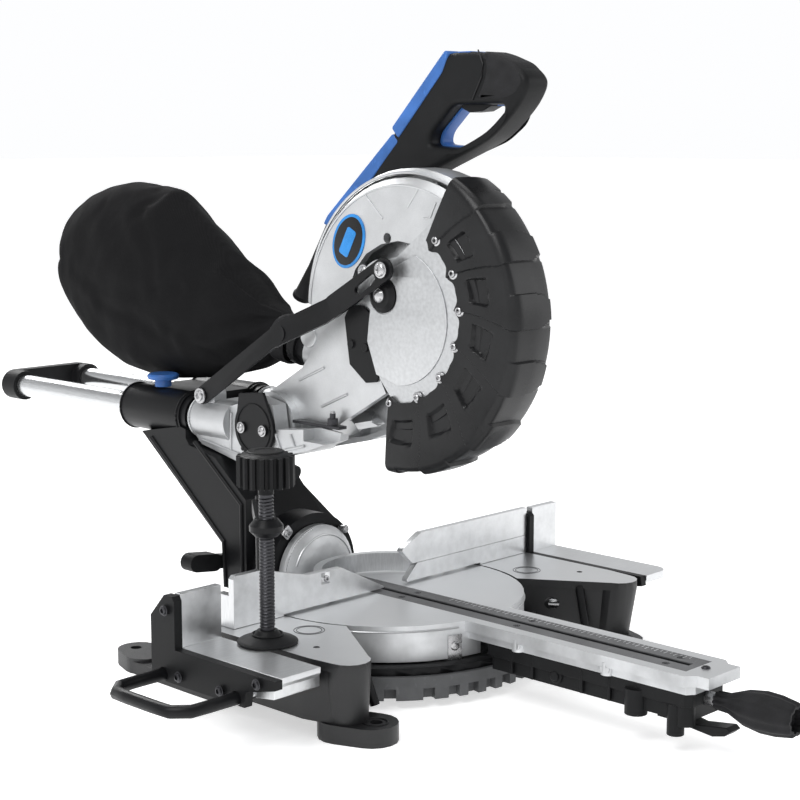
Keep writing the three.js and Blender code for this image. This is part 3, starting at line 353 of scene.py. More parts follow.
@dataclass(frozen=True)
class Moulded:
    """Moulded plastic or powder-coated steel with a fine stipple."""

    color: Point = (0.008, 0.0082, 0.009)
    roughness: float = 0.42
    stipple: float = 0.0001
    grains: float = 1800.0
    coat: float = 0.0
    shine: float = 0.16

    def make(self, name: str) -> bpy.types.Material:
        """Builds the material.

        Args:
            name: the material's name.

        Returns:
            The material.
        """
        paint = Paint(name)
        grain = paint.noise(self.grains, 2.0)
        cloud = paint.noise(35.0, 4.0)
        scuff = paint.noise(60.0, 5.0, (1.0, 5.0, 2.0))
        tint = paint.blend(cloud.spread(0.3, 0.7), shade(self.color, 0.8), shade(self.color, 1.2))
        scuffs = scuff.spread(0.62, 0.75, 0.0, 0.3)
        paint.base("Base Color", paint.blend(scuffs, tint, shade(self.color, 2.2)))
        uneven = grain * 0.5 + cloud * 0.5
        paint.base("Roughness", uneven.spread(0.3, 0.7, self.roughness - 0.06, self.roughness + 0.1))
        paint.base("Specular IOR Level", self.shine)
        if self.coat:
            paint.base("Coat Weight", self.coat)
        paint.relief((grain, self.stipple))
        return paint.material


@dataclass(frozen=True)
class Rubber:
    """Matt rubber with a pebbled skin."""

    color: Point = (0.012, 0.012, 0.013)
    roughness: float = 0.62

    def make(self, name: str) -> bpy.types.Material:
        """Builds the material.

        Args:
            name: the material's name.

        Returns:
            The material.
        """
        paint = Paint(name)
        cells = paint.node("TexVoronoi", {}, {"Vector": paint.place(), "Scale": 900.0}, "Distance")
        cloud = paint.noise(60.0, 3.0)
        tint = paint.blend(cloud.spread(0.3, 0.7), shade(self.color, 0.8), shade(self.color, 1.7))
        paint.base("Base Color", tint)
        paint.base("Roughness", cloud.spread(0.3, 0.7, self.roughness - 0.06, self.roughness + 0.12))
        paint.base("Specular IOR Level", 0.2)
        paint.relief((cells, 0.00015))
        return paint.material


@dataclass(frozen=True)
class WovenCloth:
    """Plain woven nylon."""

    color: Point = (0.006, 0.006, 0.0065)
    threads: float = 3400.0

    def make(self, name: str) -> bpy.types.Material:
        """Builds the material.

        Args:
            name: the material's name.

        Returns:
            The material.
        """
        paint = Paint(name)
        parts = [paint.node("SeparateXYZ", {}, {"Vector": paint.place()}, axis) for axis in "XYZ"]
        warp = ((parts[1] + parts[0] * 0.35) * self.threads).sine()
        weft = ((parts[2] + parts[0] * 0.35) * self.threads).sine()
        weave = (warp * weft).spread(-1.0, 1.0)
        cloud = paint.noise(16.0, 4.0)
        lint = paint.noise(700.0, 2.0)
        tint = paint.blend(weave * 0.5 + cloud * 0.5, shade(self.color, 0.6), shade(self.color, 1.8))
        paint.base("Base Color", paint.blend(lint.spread(0.66, 0.8, 0.0, 0.5), tint, shade(self.color, 4.0)))
        paint.base("Roughness", cloud.spread(0.3, 0.7, 0.78, 0.94))
        paint.base("Specular IOR Level", 0.12)
        paint.relief((weave, 0.00012), (cloud, 0.003))
        return paint.material


class Look(Enum):
    """The saw's finishes by what they cover."""

    CASTING = CastMetal()
    SMOOTH_CAST = CastMetal(color=(0.6, 0.61, 0.62), roughness=0.34, grain=0.00005)
    BASE = MilledCasting()
    TABLE = MilledCasting(sides=(0.56, 0.57, 0.58), side_metal=0.7)
    RAIL = BrushedMetal(lines=(20.0, 1.0, 20.0), roughness=0.2)
    PLATE = BrushedMetal(lines=(1.0, 18.0, 1.0), color=(0.66, 0.67, 0.68), roughness=0.33)
    GUARD_PLATE = BrushedMetal(lines=(1.0, 3.0, 3.0), color=(0.55, 0.56, 0.57), roughness=0.36)
    BOLT = BrushedMetal(lines=(3.0, 3.0, 3.0), color=(0.5, 0.5, 0.51), roughness=0.25)
    BLADE = BrushedMetal(lines=(1.0, 6.0, 6.0), color=(0.5, 0.51, 0.52), roughness=0.3)
    DARK_STEEL = BrushedMetal(lines=(3.0, 3.0, 3.0), color=(0.06, 0.06, 0.065), roughness=0.35)
    BLACK_PAINT = Moulded(color=(0.006, 0.0062, 0.007), roughness=0.34, stipple=0.00006, shine=0.2)
    PLASTIC = Moulded(color=(0.0085, 0.0088, 0.0095), roughness=0.45)
    SHELL = Moulded(color=(0.009, 0.0092, 0.01), roughness=0.3, stipple=0.00005, shine=0.3)
    BLUE = Moulded(color=(0.042, 0.135, 0.4), roughness=0.36, stipple=0.00004, coat=0.2)
    GREY = Moulded(color=(0.09, 0.092, 0.095), roughness=0.45)
    INSERT = Moulded(color=(0.13, 0.132, 0.136), roughness=0.5)
    WHITE = Moulded(color=(0.75, 0.76, 0.77), roughness=0.5, stipple=0.00002)
    BADGE = Moulded(color=(0.015, 0.22, 0.6), roughness=0.25, stipple=0.00001, coat=0.6)
    RUBBER = Rubber()
    CLOTH = WovenCloth()

    def material(self) -> bpy.types.Material:
        """The finish's material, made once."""
        name = f"finish_{self.name.lower()}"
        return bpy.data.materials.get(name) or self.value.make(name)


# ---------------------------------------------------------------- CAD nodes


def dress(node: str, look: Look, edge: float = 0.5) -> None:
    """Gives a CAD node its finish and softly broken edges.

    Args:
        node: the node's name.
        look: its finish.
        edge: width of the broken edges in millimetres; nought leaves them sharp.
    """
    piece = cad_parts[node]
    piece.data.materials.clear()
    piece.data.materials.append(look.material())
    for polygon in piece.data.polygons:
        polygon.use_smooth = True
    weld = piece.modifiers.new("weld", "WELD")
    weld.merge_threshold = 2e-6
    if edge:
        flatten = piece.modifiers.new("flatten", "DECIMATE")
        flatten.decimate_type = "DISSOLVE"
        flatten.angle_limit = math.radians(0.6)
        bevel = piece.modifiers.new("edges", "BEVEL")
        bevel.width = edge * MM
        bevel.segments = 2
        bevel.limit_method = "ANGLE"
        bevel.angle_limit = math.radians(34)
        bevel.harden_normals = True
        bevel.use_clamp_overlap = True
    normals = piece.modifiers.new("normals", "WEIGHTED_NORMAL")
    normals.keep_sharp = True


@dataclass
class Stage:
    """Floor, soft light and the camera."""

    location: Point = (-1.1611, -1.2288, 0.5154)
    azimuth: float = 46.09
    tilt: float = 8.63
    lens: float = 78.94

    def build(self) -> None:
        """Makes the camera first, then the floor and the lights."""
        camera = bpy.data.objects.new("camera", bpy.data.cameras.new("camera"))
        camera.location = self.location
        camera.rotation_euler = (math.radians(90 - self.tilt), 0.0, -math.radians(self.azimuth))
        camera.data.lens = self.lens
        camera.data.sensor_width = 36.0
        camera.data.clip_end = 50.0
        bpy.context.collection.objects.link(camera)
        bpy.context.scene.camera = camera
        self._floor()
        self._light("key", (-1.6, -0.3, 2.0), 26.0, 1.2)
        self._light("fill", (1.8, -1.9, 1.2), 10.0, 1.6)
        self._light("rim", (0.6, 2.0, 1.6), 22.0, 1.0)
        self._light("top", (0.0, 0.2, 2.6), 14.0, 1.2)
        world = bpy.data.worlds.new("studio")
        world.use_nodes = True
        back = world.node_tree.nodes["Background"]
        back.inputs["Color"].default_value = (0.985, 0.99, 1.0, 1.0)
        where = world.node_tree.nodes.new("ShaderNodeTexCoord")
        parts = world.node_tree.nodes.new("ShaderNodeSeparateXYZ")
        fade = world.node_tree.nodes.new("ShaderNodeMapRange")
        for name, value in {"From Min": 0.16, "From Max": 0.6, "To Min": 1.0, "To Max": 0.4}.items():
            fade.inputs[name].default_value = value
        world.node_tree.links.new(where.outputs["Generated"], parts.inputs["Vector"])
        world.node_tree.links.new(parts.outputs["Z"], fade.inputs["Value"])
        world.node_tree.links.new(fade.outputs["Result"], back.inputs["Strength"])
        bpy.context.scene.world = world
        bpy.context.scene.view_settings.view_transform = "Standard"

    def _floor(self) -> None:
        """Lays the pale floor."""
        mesh = bpy.data.meshes.new("floor")
        reach = 30.0
        corners = [(-reach, -reach, 0.0), (reach, -reach, 0.0), (reach, reach, 0.0), (-reach, reach, 0.0)]
        mesh.from_pydata(corners, [], [(0, 1, 2, 3)])
        floor = bpy.data.objects.new("floor", mesh)
        bpy.context.collection.objects.link(floor)
        paint = Paint("pale_floor")
        cloud = paint.noise(3.0, 2.0)
        paint.base("Base Color", paint.blend(cloud, (0.9, 0.9, 0.9), (0.93, 0.93, 0.93)))
        paint.base("Roughness", 0.8)
        paint.base("Emission Color", (1.0, 1.0, 1.0))
        paint.base("Emission Strength", 0.55)
        mesh.materials.append(paint.material)

    def _light(self, name: str, location: Point, power: float, size: float) -> None:
        """Hangs one soft square light, aimed at the saw.

        Args:
            name: the light's name.
            location: where it hangs, in metres.
            power: its power in watts.
            size: its width in metres.
        """
        light = bpy.data.lights.new(name, "AREA")
        light.energy = power
        light.size = size
        lamp = bpy.data.objects.new(name, light)
        lamp.location = location
        aim = Vector((0.0, 0.0, 0.25)) - Vector(location)
        lamp.rotation_euler = aim.to_track_quat("-Z", "Y").to_euler()
        bpy.context.collection.objects.link(lamp)


# ---------------------------------------------------------------- forms


class Drive(Enum):
    """Recess in a screw's head."""

    HEX = "hex"
    CROSS = "cross"


AXES: dict[str, Matrix] = {
    "x": Matrix(((0, 0, 1), (1, 0, 0), (0, 1, 0))),
    "y": Matrix(((1, 0, 0), (0, 0, -1), (0, 1, 0))),
    "z": Matrix.Identity(3),
}


class Form:
    """Collects shaped parts, drawn in millimetres in the drawing frame, into one piece."""

    def __init__(self) -> None:
        """Starts empty."""
        self.mesh = bmesh.new()

    def _take(self, fresh: bpy.types.Mesh, turn: Matrix) -> None:
        """Adds a loose mesh after turning it.

        Args:
            fresh: the mesh, which is removed.
            turn: its transform.
        """
        fresh.transform(turn)
        if turn.determinant() < 0:
            fresh.flip_normals()
        self.mesh.from_mesh(fresh)
        bpy.data.meshes.remove(fresh)

    def slab(
        self,
        axis: str,
        outline: Outline,
        low: float,
        high: float,
        edge: float = 0.6,
        holes: Sequence[Outline] = (),
        steps: int = 2,
    ) -> "Form":
        """Adds a plate of any outline with rounded edges.

        Args:
            axis: x reads points as (y, z), y as (x, z) and z as (x, y).
            outline: the plate's edge.
            low: where it starts along the axis.
            high: where it ends.
            edge: radius of its edges.
            holes: outlines of its openings.
            steps: faces across an edge.

        Returns:
            The form.
        """
        curve = bpy.data.curves.new("slab", "CURVE")
        curve.dimensions = "2D"
        curve.fill_mode = "BOTH"
        for ring in (outline, *holes):
            spline = curve.splines.new("POLY")
            spline.points.add(len(ring) - 1)
            for point, (u, v) in zip(spline.points, ring):
                point.co = (u, v, 0.0, 1.0)
            spline.use_cyclic_u = True
        curve.extrude = max((high - low) / 2 - edge, 0.0)
        curve.bevel_depth = edge
        curve.bevel_resolution = steps
        curve.offset = -edge
        holder = bpy.data.objects.new("slab", curve)
        fresh = bpy.data.meshes.new_from_object(holder)
        bpy.data.objects.remove(holder)
        bpy.data.curves.remove(curve)
        middle = (low + high) / 2
        turn = AXES[axis].to_4x4()
        shift = {"x": (middle, 0, 0), "y": (0, middle, 0), "z": (0, 0, middle)}[axis]
        self._take(fresh, Matrix.Translation(shift) @ turn)
        return self

    def rings(self, rows: Sequence[Sequence[Point]], closed: bool = False, capped: bool = True) -> "Form":
        """Adds a skin over rows of points.

        Args:
            rows: rings of equal length.
            closed: whether the last row joins the first.
            capped: whether the end rings are filled.

        Returns:
            The form.
        """
        loops = [[self.mesh.verts.new(point) for point in row] for row in rows]
        count = len(loops[0])
        pairs = list(zip(loops, loops[1:] + loops[:1])) if closed else list(zip(loops, loops[1:]))
        for lower, upper in pairs:
            for i in range(count):
                j = (i + 1) % count
                self.mesh.faces.new((lower[i], lower[j], upper[j], upper[i]))
        if capped and not closed:
            self.mesh.faces.new(list(reversed(loops[0])))
            self.mesh.faces.new(loops[-1])
        return self

    def turned(
        self,
        base: Point,
        toward: Point,
        profile: Sequence[tuple[float, float]],
        sides: int = 32,
        flutes: tuple[int, float] = (0, 0.0),
    ) -> "Form":
        """Adds a turned shape.

        Args:
            base: point on its axis.
            toward: direction of its axis.
            profile: pairs of radius and distance along the axis.
            sides: faces round it.
            flutes: how many flutes it has and their depth.

        Returns:
            The form.
        """
        turn = Vector((0, 0, 1)).rotation_difference(Vector(toward).normalized()).to_matrix()
        count, depth = flutes
        rows = []
        for radius, along in profile:
            row = []
            fluted = count and radius > 2 * depth
            for i in range(sides):
                angle = math.tau * i / sides
                wave = 0.5 - 0.5 * math.cos(count * angle)
                reach = max(radius - depth * wave, 0.01) if fluted else radius
                point = Vector((reach * math.cos(angle), reach * math.sin(angle), along))
                row.append(turn @ point + Vector(base))
            rows.append(row)
        return self.rings(rows)

    def screw(
        self,
        base: Point,
        toward: Point,
        radius: float = 3.6,
        height: float = 2.4,
        drive: Drive = Drive.CROSS,
    ) -> "Form":
        """Adds a screw head.

        Args:
            base: centre of its seat.
            toward: the way it faces.
            radius: the head's radius.
            height: the head's height.
            drive: its recess.

        Returns:
            The form.
        """
        turn = Vector((0, 0, 1)).rotation_difference(Vector(toward).normalized()).to_matrix()
        sides = 24

        def recess(angle: float) -> float:
            """Radius of the recess at an angle.

            Args:
                angle: the angle in radians.

            Returns:
                The radius as a share of the head's.
            """
            if drive is Drive.HEX:
                return 0.52 / math.cos((angle + math.pi / 6) % (math.pi / 3) - math.pi / 6)
            return 0.16 + 0.46 * abs(math.cos(2 * angle)) ** 6

        if drive is Drive.HEX:
            shape = [(1.0, 0.0), (1.0, 0.5), (0.94, 0.82), (0.8, 1.0)]
        else:
            shape = [(1.0, 0.0), (1.0, 0.25), (0.9, 0.62), (0.7, 0.92)]
        rows = []
        for share, lift in shape:
            rows.append([(radius * share, height * lift, math.tau * i / sides) for i in range(sides)])
        for lift in (1.0, 0.3):
            angles = [math.tau * i / sides for i in range(sides)]
            rows.append([(radius * recess(angle), height * lift, angle) for angle in angles])
        placed = [
            [turn @ Vector((r * math.cos(a), r * math.sin(a), h)) + Vector(base) for r, h, a in row]
            for row in rows
        ]
        return self.rings(placed)

    def tube(self, points: Sequence[Point], radius: float, sides: int = 10, closed: bool = False) -> "Form":
        """Adds a round bar along points.

        Args:
            points: its middle line.
            radius: its radius.
            sides: faces round it.
            closed: whether it joins up.

        Returns:
            The form.
        """
        line = [Vector(point) for point in points]
        rows = []
        for i, point in enumerate(line):
            before = line[i - 1] if i or closed else point
            after = line[(i + 1) % len(line)] if i + 1 < len(line) or closed else point
            turn = (after - before).to_track_quat("Z", "Y").to_matrix()
            angles = [math.tau * k / sides for k in range(sides)]
            spokes = [Vector((radius * math.cos(a), radius * math.sin(a), 0)) for a in angles]
            rows.append([turn @ spoke + point for spoke in spokes])
        return self.rings(rows, closed)

    def piece(
        self,
        name: str,
        look: Look,
        body: str,
        slot: str,
        replaced: Sequence[str] = (),
        smooth: float = 34.0,
    ) -> bpy.types.Object:
        """Turns the form into a piece of the saw.

        Args:
            name: the piece's name.
            look: its finish.
            body: the CAD body that it rides on.
            slot: the record's material slot; not used.
            replaced: CAD nodes that it stands for.
            smooth: largest angle, in degrees, that still shades smooth.

        Returns:
            The new object.
        """
        bmesh.ops.remove_doubles(self.mesh, verts=self.mesh.verts, dist=0.002)
        bmesh.ops.recalc_face_normals(self.mesh, faces=self.mesh.faces)
        for vertex in self.mesh.verts:
            vertex.co = place(*vertex.co)
        data = bpy.data.meshes.new(name)
        self.mesh.to_mesh(data)
        self.mesh.free()
        data.materials.append(look.material())
        for polygon in data.polygons:
            polygon.use_smooth = True
        data.set_sharp_from_angle(angle=math.radians(smooth))
        made = bpy.data.objects.new(name, data)
        bpy.context.collection.objects.link(made)
        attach(made, body)
        if replaced:
            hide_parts(*replaced)
        log.info("built %s on %s", name, body)
        return made


def arc(centre: tuple[float, float], radius: float, start: float, end: float, steps: int = 16) -> Outline:
    """Points on an arc.

    Args:
        centre: its centre.
        radius: its radius.
        start: first angle in degrees.
        end: last angle.
        steps: how many parts it is cut into.

    Returns:
        The points, first and last included.
    """
    angles = [math.radians(start + (end - start) * i / steps) for i in range(steps + 1)]
    return [(centre[0] + radius * math.cos(a), centre[1] + radius * math.sin(a)) for a in angles]


def rounded(outline: Outline, radius: float, steps: int = 4) -> Outline:
    """Rounds an outline's corners.

    Args:
        outline: the corners.
        radius: how far back from a corner its curve starts, at most.
        steps: points along each curve.

    Returns:
        The softer outline.
    """
    soft: Outline = []
    count = len(outline)
    for i in range(count):
        corner = Vector(outline[i])
        before = Vector(outline[i - 1]) - corner
        after = Vector(outline[(i + 1) % count]) - corner
        start = corner + before.normalized() * min(radius, before.length * 0.45)
        end = corner + after.normalized() * min(radius, after.length * 0.45)
        for k in range(steps + 1):
            t = k / steps
            point = start * (1 - t) ** 2 + corner * 2 * t * (1 - t) + end * t ** 2
            soft.append((point.x, point.y))
    return soft


def label(name: str, text: str, at: Point, turn: Sequence[float], size: float, body: str) -> bpy.types.Object:
    """Adds one number of a dial.

    Args:
        name: the piece's name.
        text: the number.
        at: its middle, in the drawing frame.
        turn: its rotation, in radians.
        size: its height in millimetres.
        body: the CAD body that it rides on.

    Returns:
        The new object.
    """
    curve = bpy.data.curves.new(name, "FONT")
    curve.body = text
    curve.size = size * MM
    curve.align_x = "CENTER"
    curve.align_y = "CENTER"
    holder = bpy.data.objects.new(name, curve)
    data = bpy.data.meshes.new_from_object(holder)
    bpy.data.objects.remove(holder)
    made = bpy.data.objects.new(name, data)
    data.transform(Matrix.LocRotScale(place(*at), Euler(turn), None))
    data.materials.append(Look.WHITE.material())
    bpy.context.collection.objects.link(made)
    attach(made, body)
    return made


# ---------------------------------------------------------------- dust bag


@dataclass
class DustBag:
    """Sewn cloth sack on the dust spout."""

    root: Point = (0.0, 124.0, 306.0)
    slope: tuple[float, float] = (0.978, 0.208)
    # distance from the spout, height above and below the bag's axis, half width
    sections: tuple[tuple[float, float, float, float], ...] = (
        (6, 20, 20, 20), (24, 24, 24, 23), (48, 35, 42, 28), (84, 50, 58, 37), (126, 66, 74, 44),
        (168, 84, 87, 48), (210, 103, 95, 50), (246, 101, 97, 50), (280, 96, 91, 49), (310, 85, 82, 46),
        (338, 71, 68, 42), (360, 54, 50, 36), (376, 36, 32, 26), (383, 18, 15, 14),
    )
    # folds pressed into the cloth: their line as (y, z) and their depth
    folds: tuple[tuple[tuple[tuple[float, float], ...], float], ...] = (
        (((273, 311), (224, 310), (161, 325), (132, 334)), 5.0),
        (((190, 381), (157, 355), (134, 330)), 4.5),
        (((249, 301), (213, 283)), 4.0),
        (((391, 335), (321, 319), (271, 296)), 3.5),
        (((440, 368), (400, 351), (320, 347), (253, 358)), 3.0),
        (((255, 411), (223, 408)), 3.5),
        (((330, 430), (300, 392), (290, 350)), 2.5),
    )

    def axis(self, distance: float) -> Vector:
        """Point on the bag's axis.

        Args:
            distance: how far along the axis.

        Returns:
            The point.
        """
        y = self.root[1] + self.slope[0] * distance
        z = self.root[2] + self.slope[1] * distance
        return Vector((self.root[0], y, z))

    def build(self) -> bpy.types.Object:
        """Lofts the sack, swells it as cloth and presses its folds.

        Returns:
            The finished bag.
        """
        form = Form()
        rows = []
        steps = 6
        for first, second in zip(self.sections, self.sections[1:]):
            for k in range(steps):
                t = k / steps
                rows.append(self._ring([a * (1 - t) + b * t for a, b in zip(first, second)]))
        rows.append(self._ring(self.sections[-1]))
        form.rings(rows)
        bag = form.piece("sewn_dust_bag", Look.CLOTH, "head", "bag_cloth", ("dust_bag",), 180.0)
        self._swell(bag)
        self._press(bag)
        smooth = bag.modifiers.new("smooth", "SUBSURF")
        smooth.levels = smooth.render_levels = 1
        return bag

    def dress(self) -> None:
        """Adds the elastic cuff."""
        cuff = Form()
        hems = []
        folds = ((2, 21.5), (5, 23.4), (8, 22.2), (11, 23.8), (14, 22.6), (17, 24.2), (22, 23.6))
        for distance, radius in folds:
            hems.append(self._ring((distance, radius, radius, radius)))
        cuff.rings(hems, capped=False)
        cuff.piece("bag_cuff", Look.RUBBER, "head", "bag_cloth", smooth=60.0)

    def _ring(self, section: Sequence[float]) -> list[Vector]:
        """One cross-section of the sack.

        Args:
            section: distance from the spout, height above and below the axis, half width.

        Returns:
            The points once round.
        """
        distance, above, below, half = section
        middle = self.axis(distance)
        lean = 0.2
        power = 0.82
        sides = 88
        ring = []
        for i in range(sides):
            angle = math.tau * i / sides
            u = math.copysign(abs(math.cos(angle)) ** power, math.cos(angle)) * half
            v = math.copysign(abs(math.sin(angle)) ** power, math.sin(angle))
            v *= above if v > 0 else below
            ring.append(middle + Vector((u, -lean * v, v)))
        return ring

    def _swell(self, bag: bpy.types.Object) -> None:
        """Runs the cloth under soft pressure and keeps its result within reach of the drawn shape.

        Args:
            bag: the lofted sack.
        """
        neck = bag.vertex_groups.new(name="neck")
        limit = place(*self.axis(20)).y
        neck.add([vertex.index for vertex in bag.data.vertices if vertex.co.y < limit], 1.0, "REPLACE")
        before = [vertex.co.copy() for vertex in bag.data.vertices]
        cloth = bag.modifiers.new("cloth", "CLOTH")
        setting = cloth.settings
        setting.quality = 5
        setting.mass = 0.25
        setting.tension_stiffness = setting.compression_stiffness = 12.0
        setting.bending_stiffness = 0.3
        setting.shrink_min = -0.035
        setting.use_pressure = True
        setting.uniform_pressure_force = 4.0
        setting.effector_weights.gravity = 0.0
        setting.vertex_group_mass = neck.name
        cloth.collision_settings.use_collision = False
        cloth.point_cache.frame_start, cloth.point_cache.frame_end = 1, 20
        scene = bpy.context.scene
        for step in range(1, 21):
            scene.frame_set(step)
        evaluated = bag.evaluated_get(bpy.context.evaluated_depsgraph_get())
        moved = [vertex.co.copy() for vertex in evaluated.data.vertices]
        bag.modifiers.remove(cloth)
        scene.frame_set(1)
        cap = 7.0 * MM
        for vertex, old, new in zip(bag.data.vertices, before, moved):
            shift = new - old
            vertex.co = old + shift * (min(shift.length, cap) / max(shift.length, 1e-9))

    def _press(self, bag: bpy.types.Object) -> None:
        """Presses the folds in from both sides.

        Args:
            bag: the swollen sack.
        """
        lines = [([place(0, y, z).yz for y, z in line], depth * MM) for line, depth in self.folds]
        for vertex in bag.data.vertices:
            side = max(-1.0, min(1.0, (vertex.co.x - SHIFT.x * MM) / (30 * MM)))
            push = 0.0
            for line, depth in lines:
                gap = min(self._gap(vertex.co.yz, a, b) for a, b in zip(line, line[1:]))
                valley = math.exp(-(gap / 0.0055) ** 2)
                ridge = math.exp(-((gap - 0.013) / 0.007) ** 2)
                push += depth * (valley - 0.45 * ridge)
            crumple = noise.noise(vertex.co * 22.0) * 3.2 + noise.noise(vertex.co * 55.0) * 1.3
            vertex.co.x -= side * (push - crumple * MM * abs(side))

    @staticmethod
    def _gap(point: Vector, first: Vector, second: Vector) -> float:
        """Distance of a point from a stretch of a line.

        Args:
            point: the point.
            first: the stretch's start.
            second: its end.

        Returns:
            The distance.
        """
        span = second - first
        share = max(0.0, min(1.0, (point - first).dot(span) / span.length_squared))
        return (point - first - span * share).length


# ---------------------------------------------------------------- lower guard


@dataclass
class LowerGuard:
    """Black shell of overlapping petals round the front of the blade."""

    start: float = 118.0
    end: float = 275.0
    edges: tuple[float, ...] = (118.0, 125.0, 148.0, 171.6, 195.6, 221.8, 248.0, 275.0)
    screws: tuple[tuple[float, float], ...] = (
        (-95, 420), (-116, 391), (-124, 358), (-118, 325), (-100, 295), (-72, 274), (-37, 265),
    )
    sweep: float = 9.0
    columns: int = 330

    def build(self) -> None:
        """Makes the shell from one swept section."""
        rows = []
        for i in range(self.columns + 1):
            angle = self.start + (self.end - self.start) * i / self.columns
            rows.append([self._point(angle, radius, x, reach) for radius, x, reach in self._section(angle)])
        Form().rings(rows).piece(
            "petal_guard", Look.SHELL, "lower_guard", "shell_plastic", ("guard_shell",), 30.0)

    def dress(self) -> None:
        """Adds the screws on the inner rim, the raised middle of the plate and the pivot's cap."""
        heads = Form()
        for y, z in self.screws:
            heads.turned((-33.0, y, z), (-1, 0, 0), ((5.2, 0), (5.2, 1.8), (4.6, 2.2), (0.5, 2.2)), 24)
            heads.screw((-35.2, y, z), (-1, 0, 0), 3.6, 2.2, Drive.HEX)
        heads.piece("guard_screws", Look.BOLT, "lower_guard", "steel")
        middle = [
            *arc((ARBOR[0], ARBOR[1]), 64, 112, 268, 40), (ARBOR[0] + 26, 290), (ARBOR[0] + 38, 321),
            (ARBOR[0] + 36, 338), *arc((COVER[0], COVER[1]), 22, -40, 100, 12),
        ]
        hole = arc((COVER[0], COVER[1]), 17.8, 0, 345, 23)
        plate = Form().slab("x", middle, -33.1, -31.9, 0.5, (hole,))
        plate.piece("guard_plate_middle", Look.GUARD_PLATE, "lower_guard", "machined")
        nose = Form()
        nose.turned((-37.3, *COVER), (-1, 0, 0), ((6.6, 0), (6.6, 2), (4.8, 3.6), (2.4, 4.4), (0.4, 4.6)), 28)
        nose.piece("guard_pivot_cap", Look.BOLT, "lower_guard", "steel")

    def _petal(self, angle: float, radius: float) -> tuple[int, float]:
        """Which petal a point lies on, and how far along it.

        Args:
            angle: the point's angle about the arbor.
            radius: its radius.

        Returns:
            The petal's number and a share from nought to one.
        """
        lean = self.sweep * max(0.0, min(1.0, (radius - 80) / 60))
        for number, (low, high) in enumerate(zip(self.edges, self.edges[1:])):
            low += lean if number else 0.0
            high += lean
            if angle < high or number == len(self.edges) - 2:
                return number, max(0.0, min(1.0, (angle - low) / (high - low)))
        return 0, 0.0

    def _section(self, angle: float) -> list[tuple[float, float, float]]:
        """The shell's section, once round.

        Args:
            angle: the section's angle about the arbor.

        Returns:
            Radius, x and reach of its points. Reach is nought on the face, one on the band and minus one
            inside.
        """
        rim = self._rim(angle)
        outer = [(rim, -32.9, 0.0)]
        for k in range(31):
            outer.append((rim + (139.5 - rim) * k / 30, -34.0 - 0.5 * math.sin(math.pi * k / 30), 0.0))
        for k in range(1, 7):
            turn = math.radians(15 * k)
            outer.append((139.5 + 6.0 * math.sin(turn), -28.0 - 6.0 * math.cos(turn), 0.16 * k))
        for k in range(1, 13):
            x = -28.0 + 48.0 * k / 12
            outer.append((145.5 - 3.3 * max(0.0, (x + 6) / 26) ** 1.6, x, 1.0 if k < 12 else 0.2))
        inner = [(139.0, 20.0, 0.0), (141.0, -4.0, 0.0), (141.0, -25.0, 0.0), (134.0, -29.6, 0.0)]
        inner += [(107.0, -29.6, 0.0), (104.6, -32.45, 0.0), (rim, -32.45, 0.0)]
        return outer + [(radius, x, -1.0) for radius, x, _ in inner]

    def _rim(self, angle: float) -> float:
        """Radius of the scalloped inner rim.

        Args:
            angle: the angle about the arbor.

        Returns:
            The radius.
        """
        bearings = [math.degrees(math.atan2(z - ARBOR[1], y - ARBOR[0])) % 360 for y, z in self.screws]
        nearest = min(abs(angle - bearing) for bearing in bearings)
        level = 83.0 - 3.0 * max(0.0, min(1.0, (angle - 130) / 60))
        return level + 7.0 * (1 - math.exp(-(nearest / 4.5) ** 2)) * max(0.0, 1 - (nearest / 40)) - 5.0

    def _point(self, angle: float, radius: float, x: float, reach: float) -> Point:
        """Lifts one point of the section by the petals' relief.

        Args:
            angle: the point's angle.
            radius: its radius.
            x: its place across the guard.
            reach: nought on the face, one on the band and negative inside.

        Returns:
            The finished point.
        """
        if reach >= 0.0:
            number, share = self._petal(angle, radius)
            face = 0.3 + 1.8 * share
            if number and reach == 0.0:
                face -= 4.0 * self._pocket(share, radius)
            last = number == len(self.edges) - 2
            tile = 2.9 if share > 0.48 or (not number) else 0.0
            tile *= 0.0 if last and share > 0.9 else 1.0
            round_end = max(0.0, (x + 6) / 26) ** 2
            if tile and 0.48 < share < 0.48 + 0.13 * round_end or tile and share > 1 - 0.13 * round_end:
                tile = 0.0
            x -= face * (1 - reach)
            radius += (tile + 0.6 * share) * reach
        angle_r = math.radians(angle)
        return (x, ARBOR[0] + radius * math.cos(angle_r), ARBOR[1] + radius * math.sin(angle_r))

    @staticmethod
    def _pocket(share: float, radius: float) -> float:
        """Depth of a petal's pocket at a point.

        Args:
            share: how far along the petal the point is.
            radius: the point's radius.

        Returns:
            The depth as a share of the full depth.
        """
        across = min((share - 0.2) / 0.035, (0.76 - share) / 0.035)
        along = min((radius - 97) / 1.5, (122 - 7 * share - radius) / 1.5)
        return max(0.0, min(1.0, across)) * max(0.0, min(1.0, along))


# ---------------------------------------------------------------- head


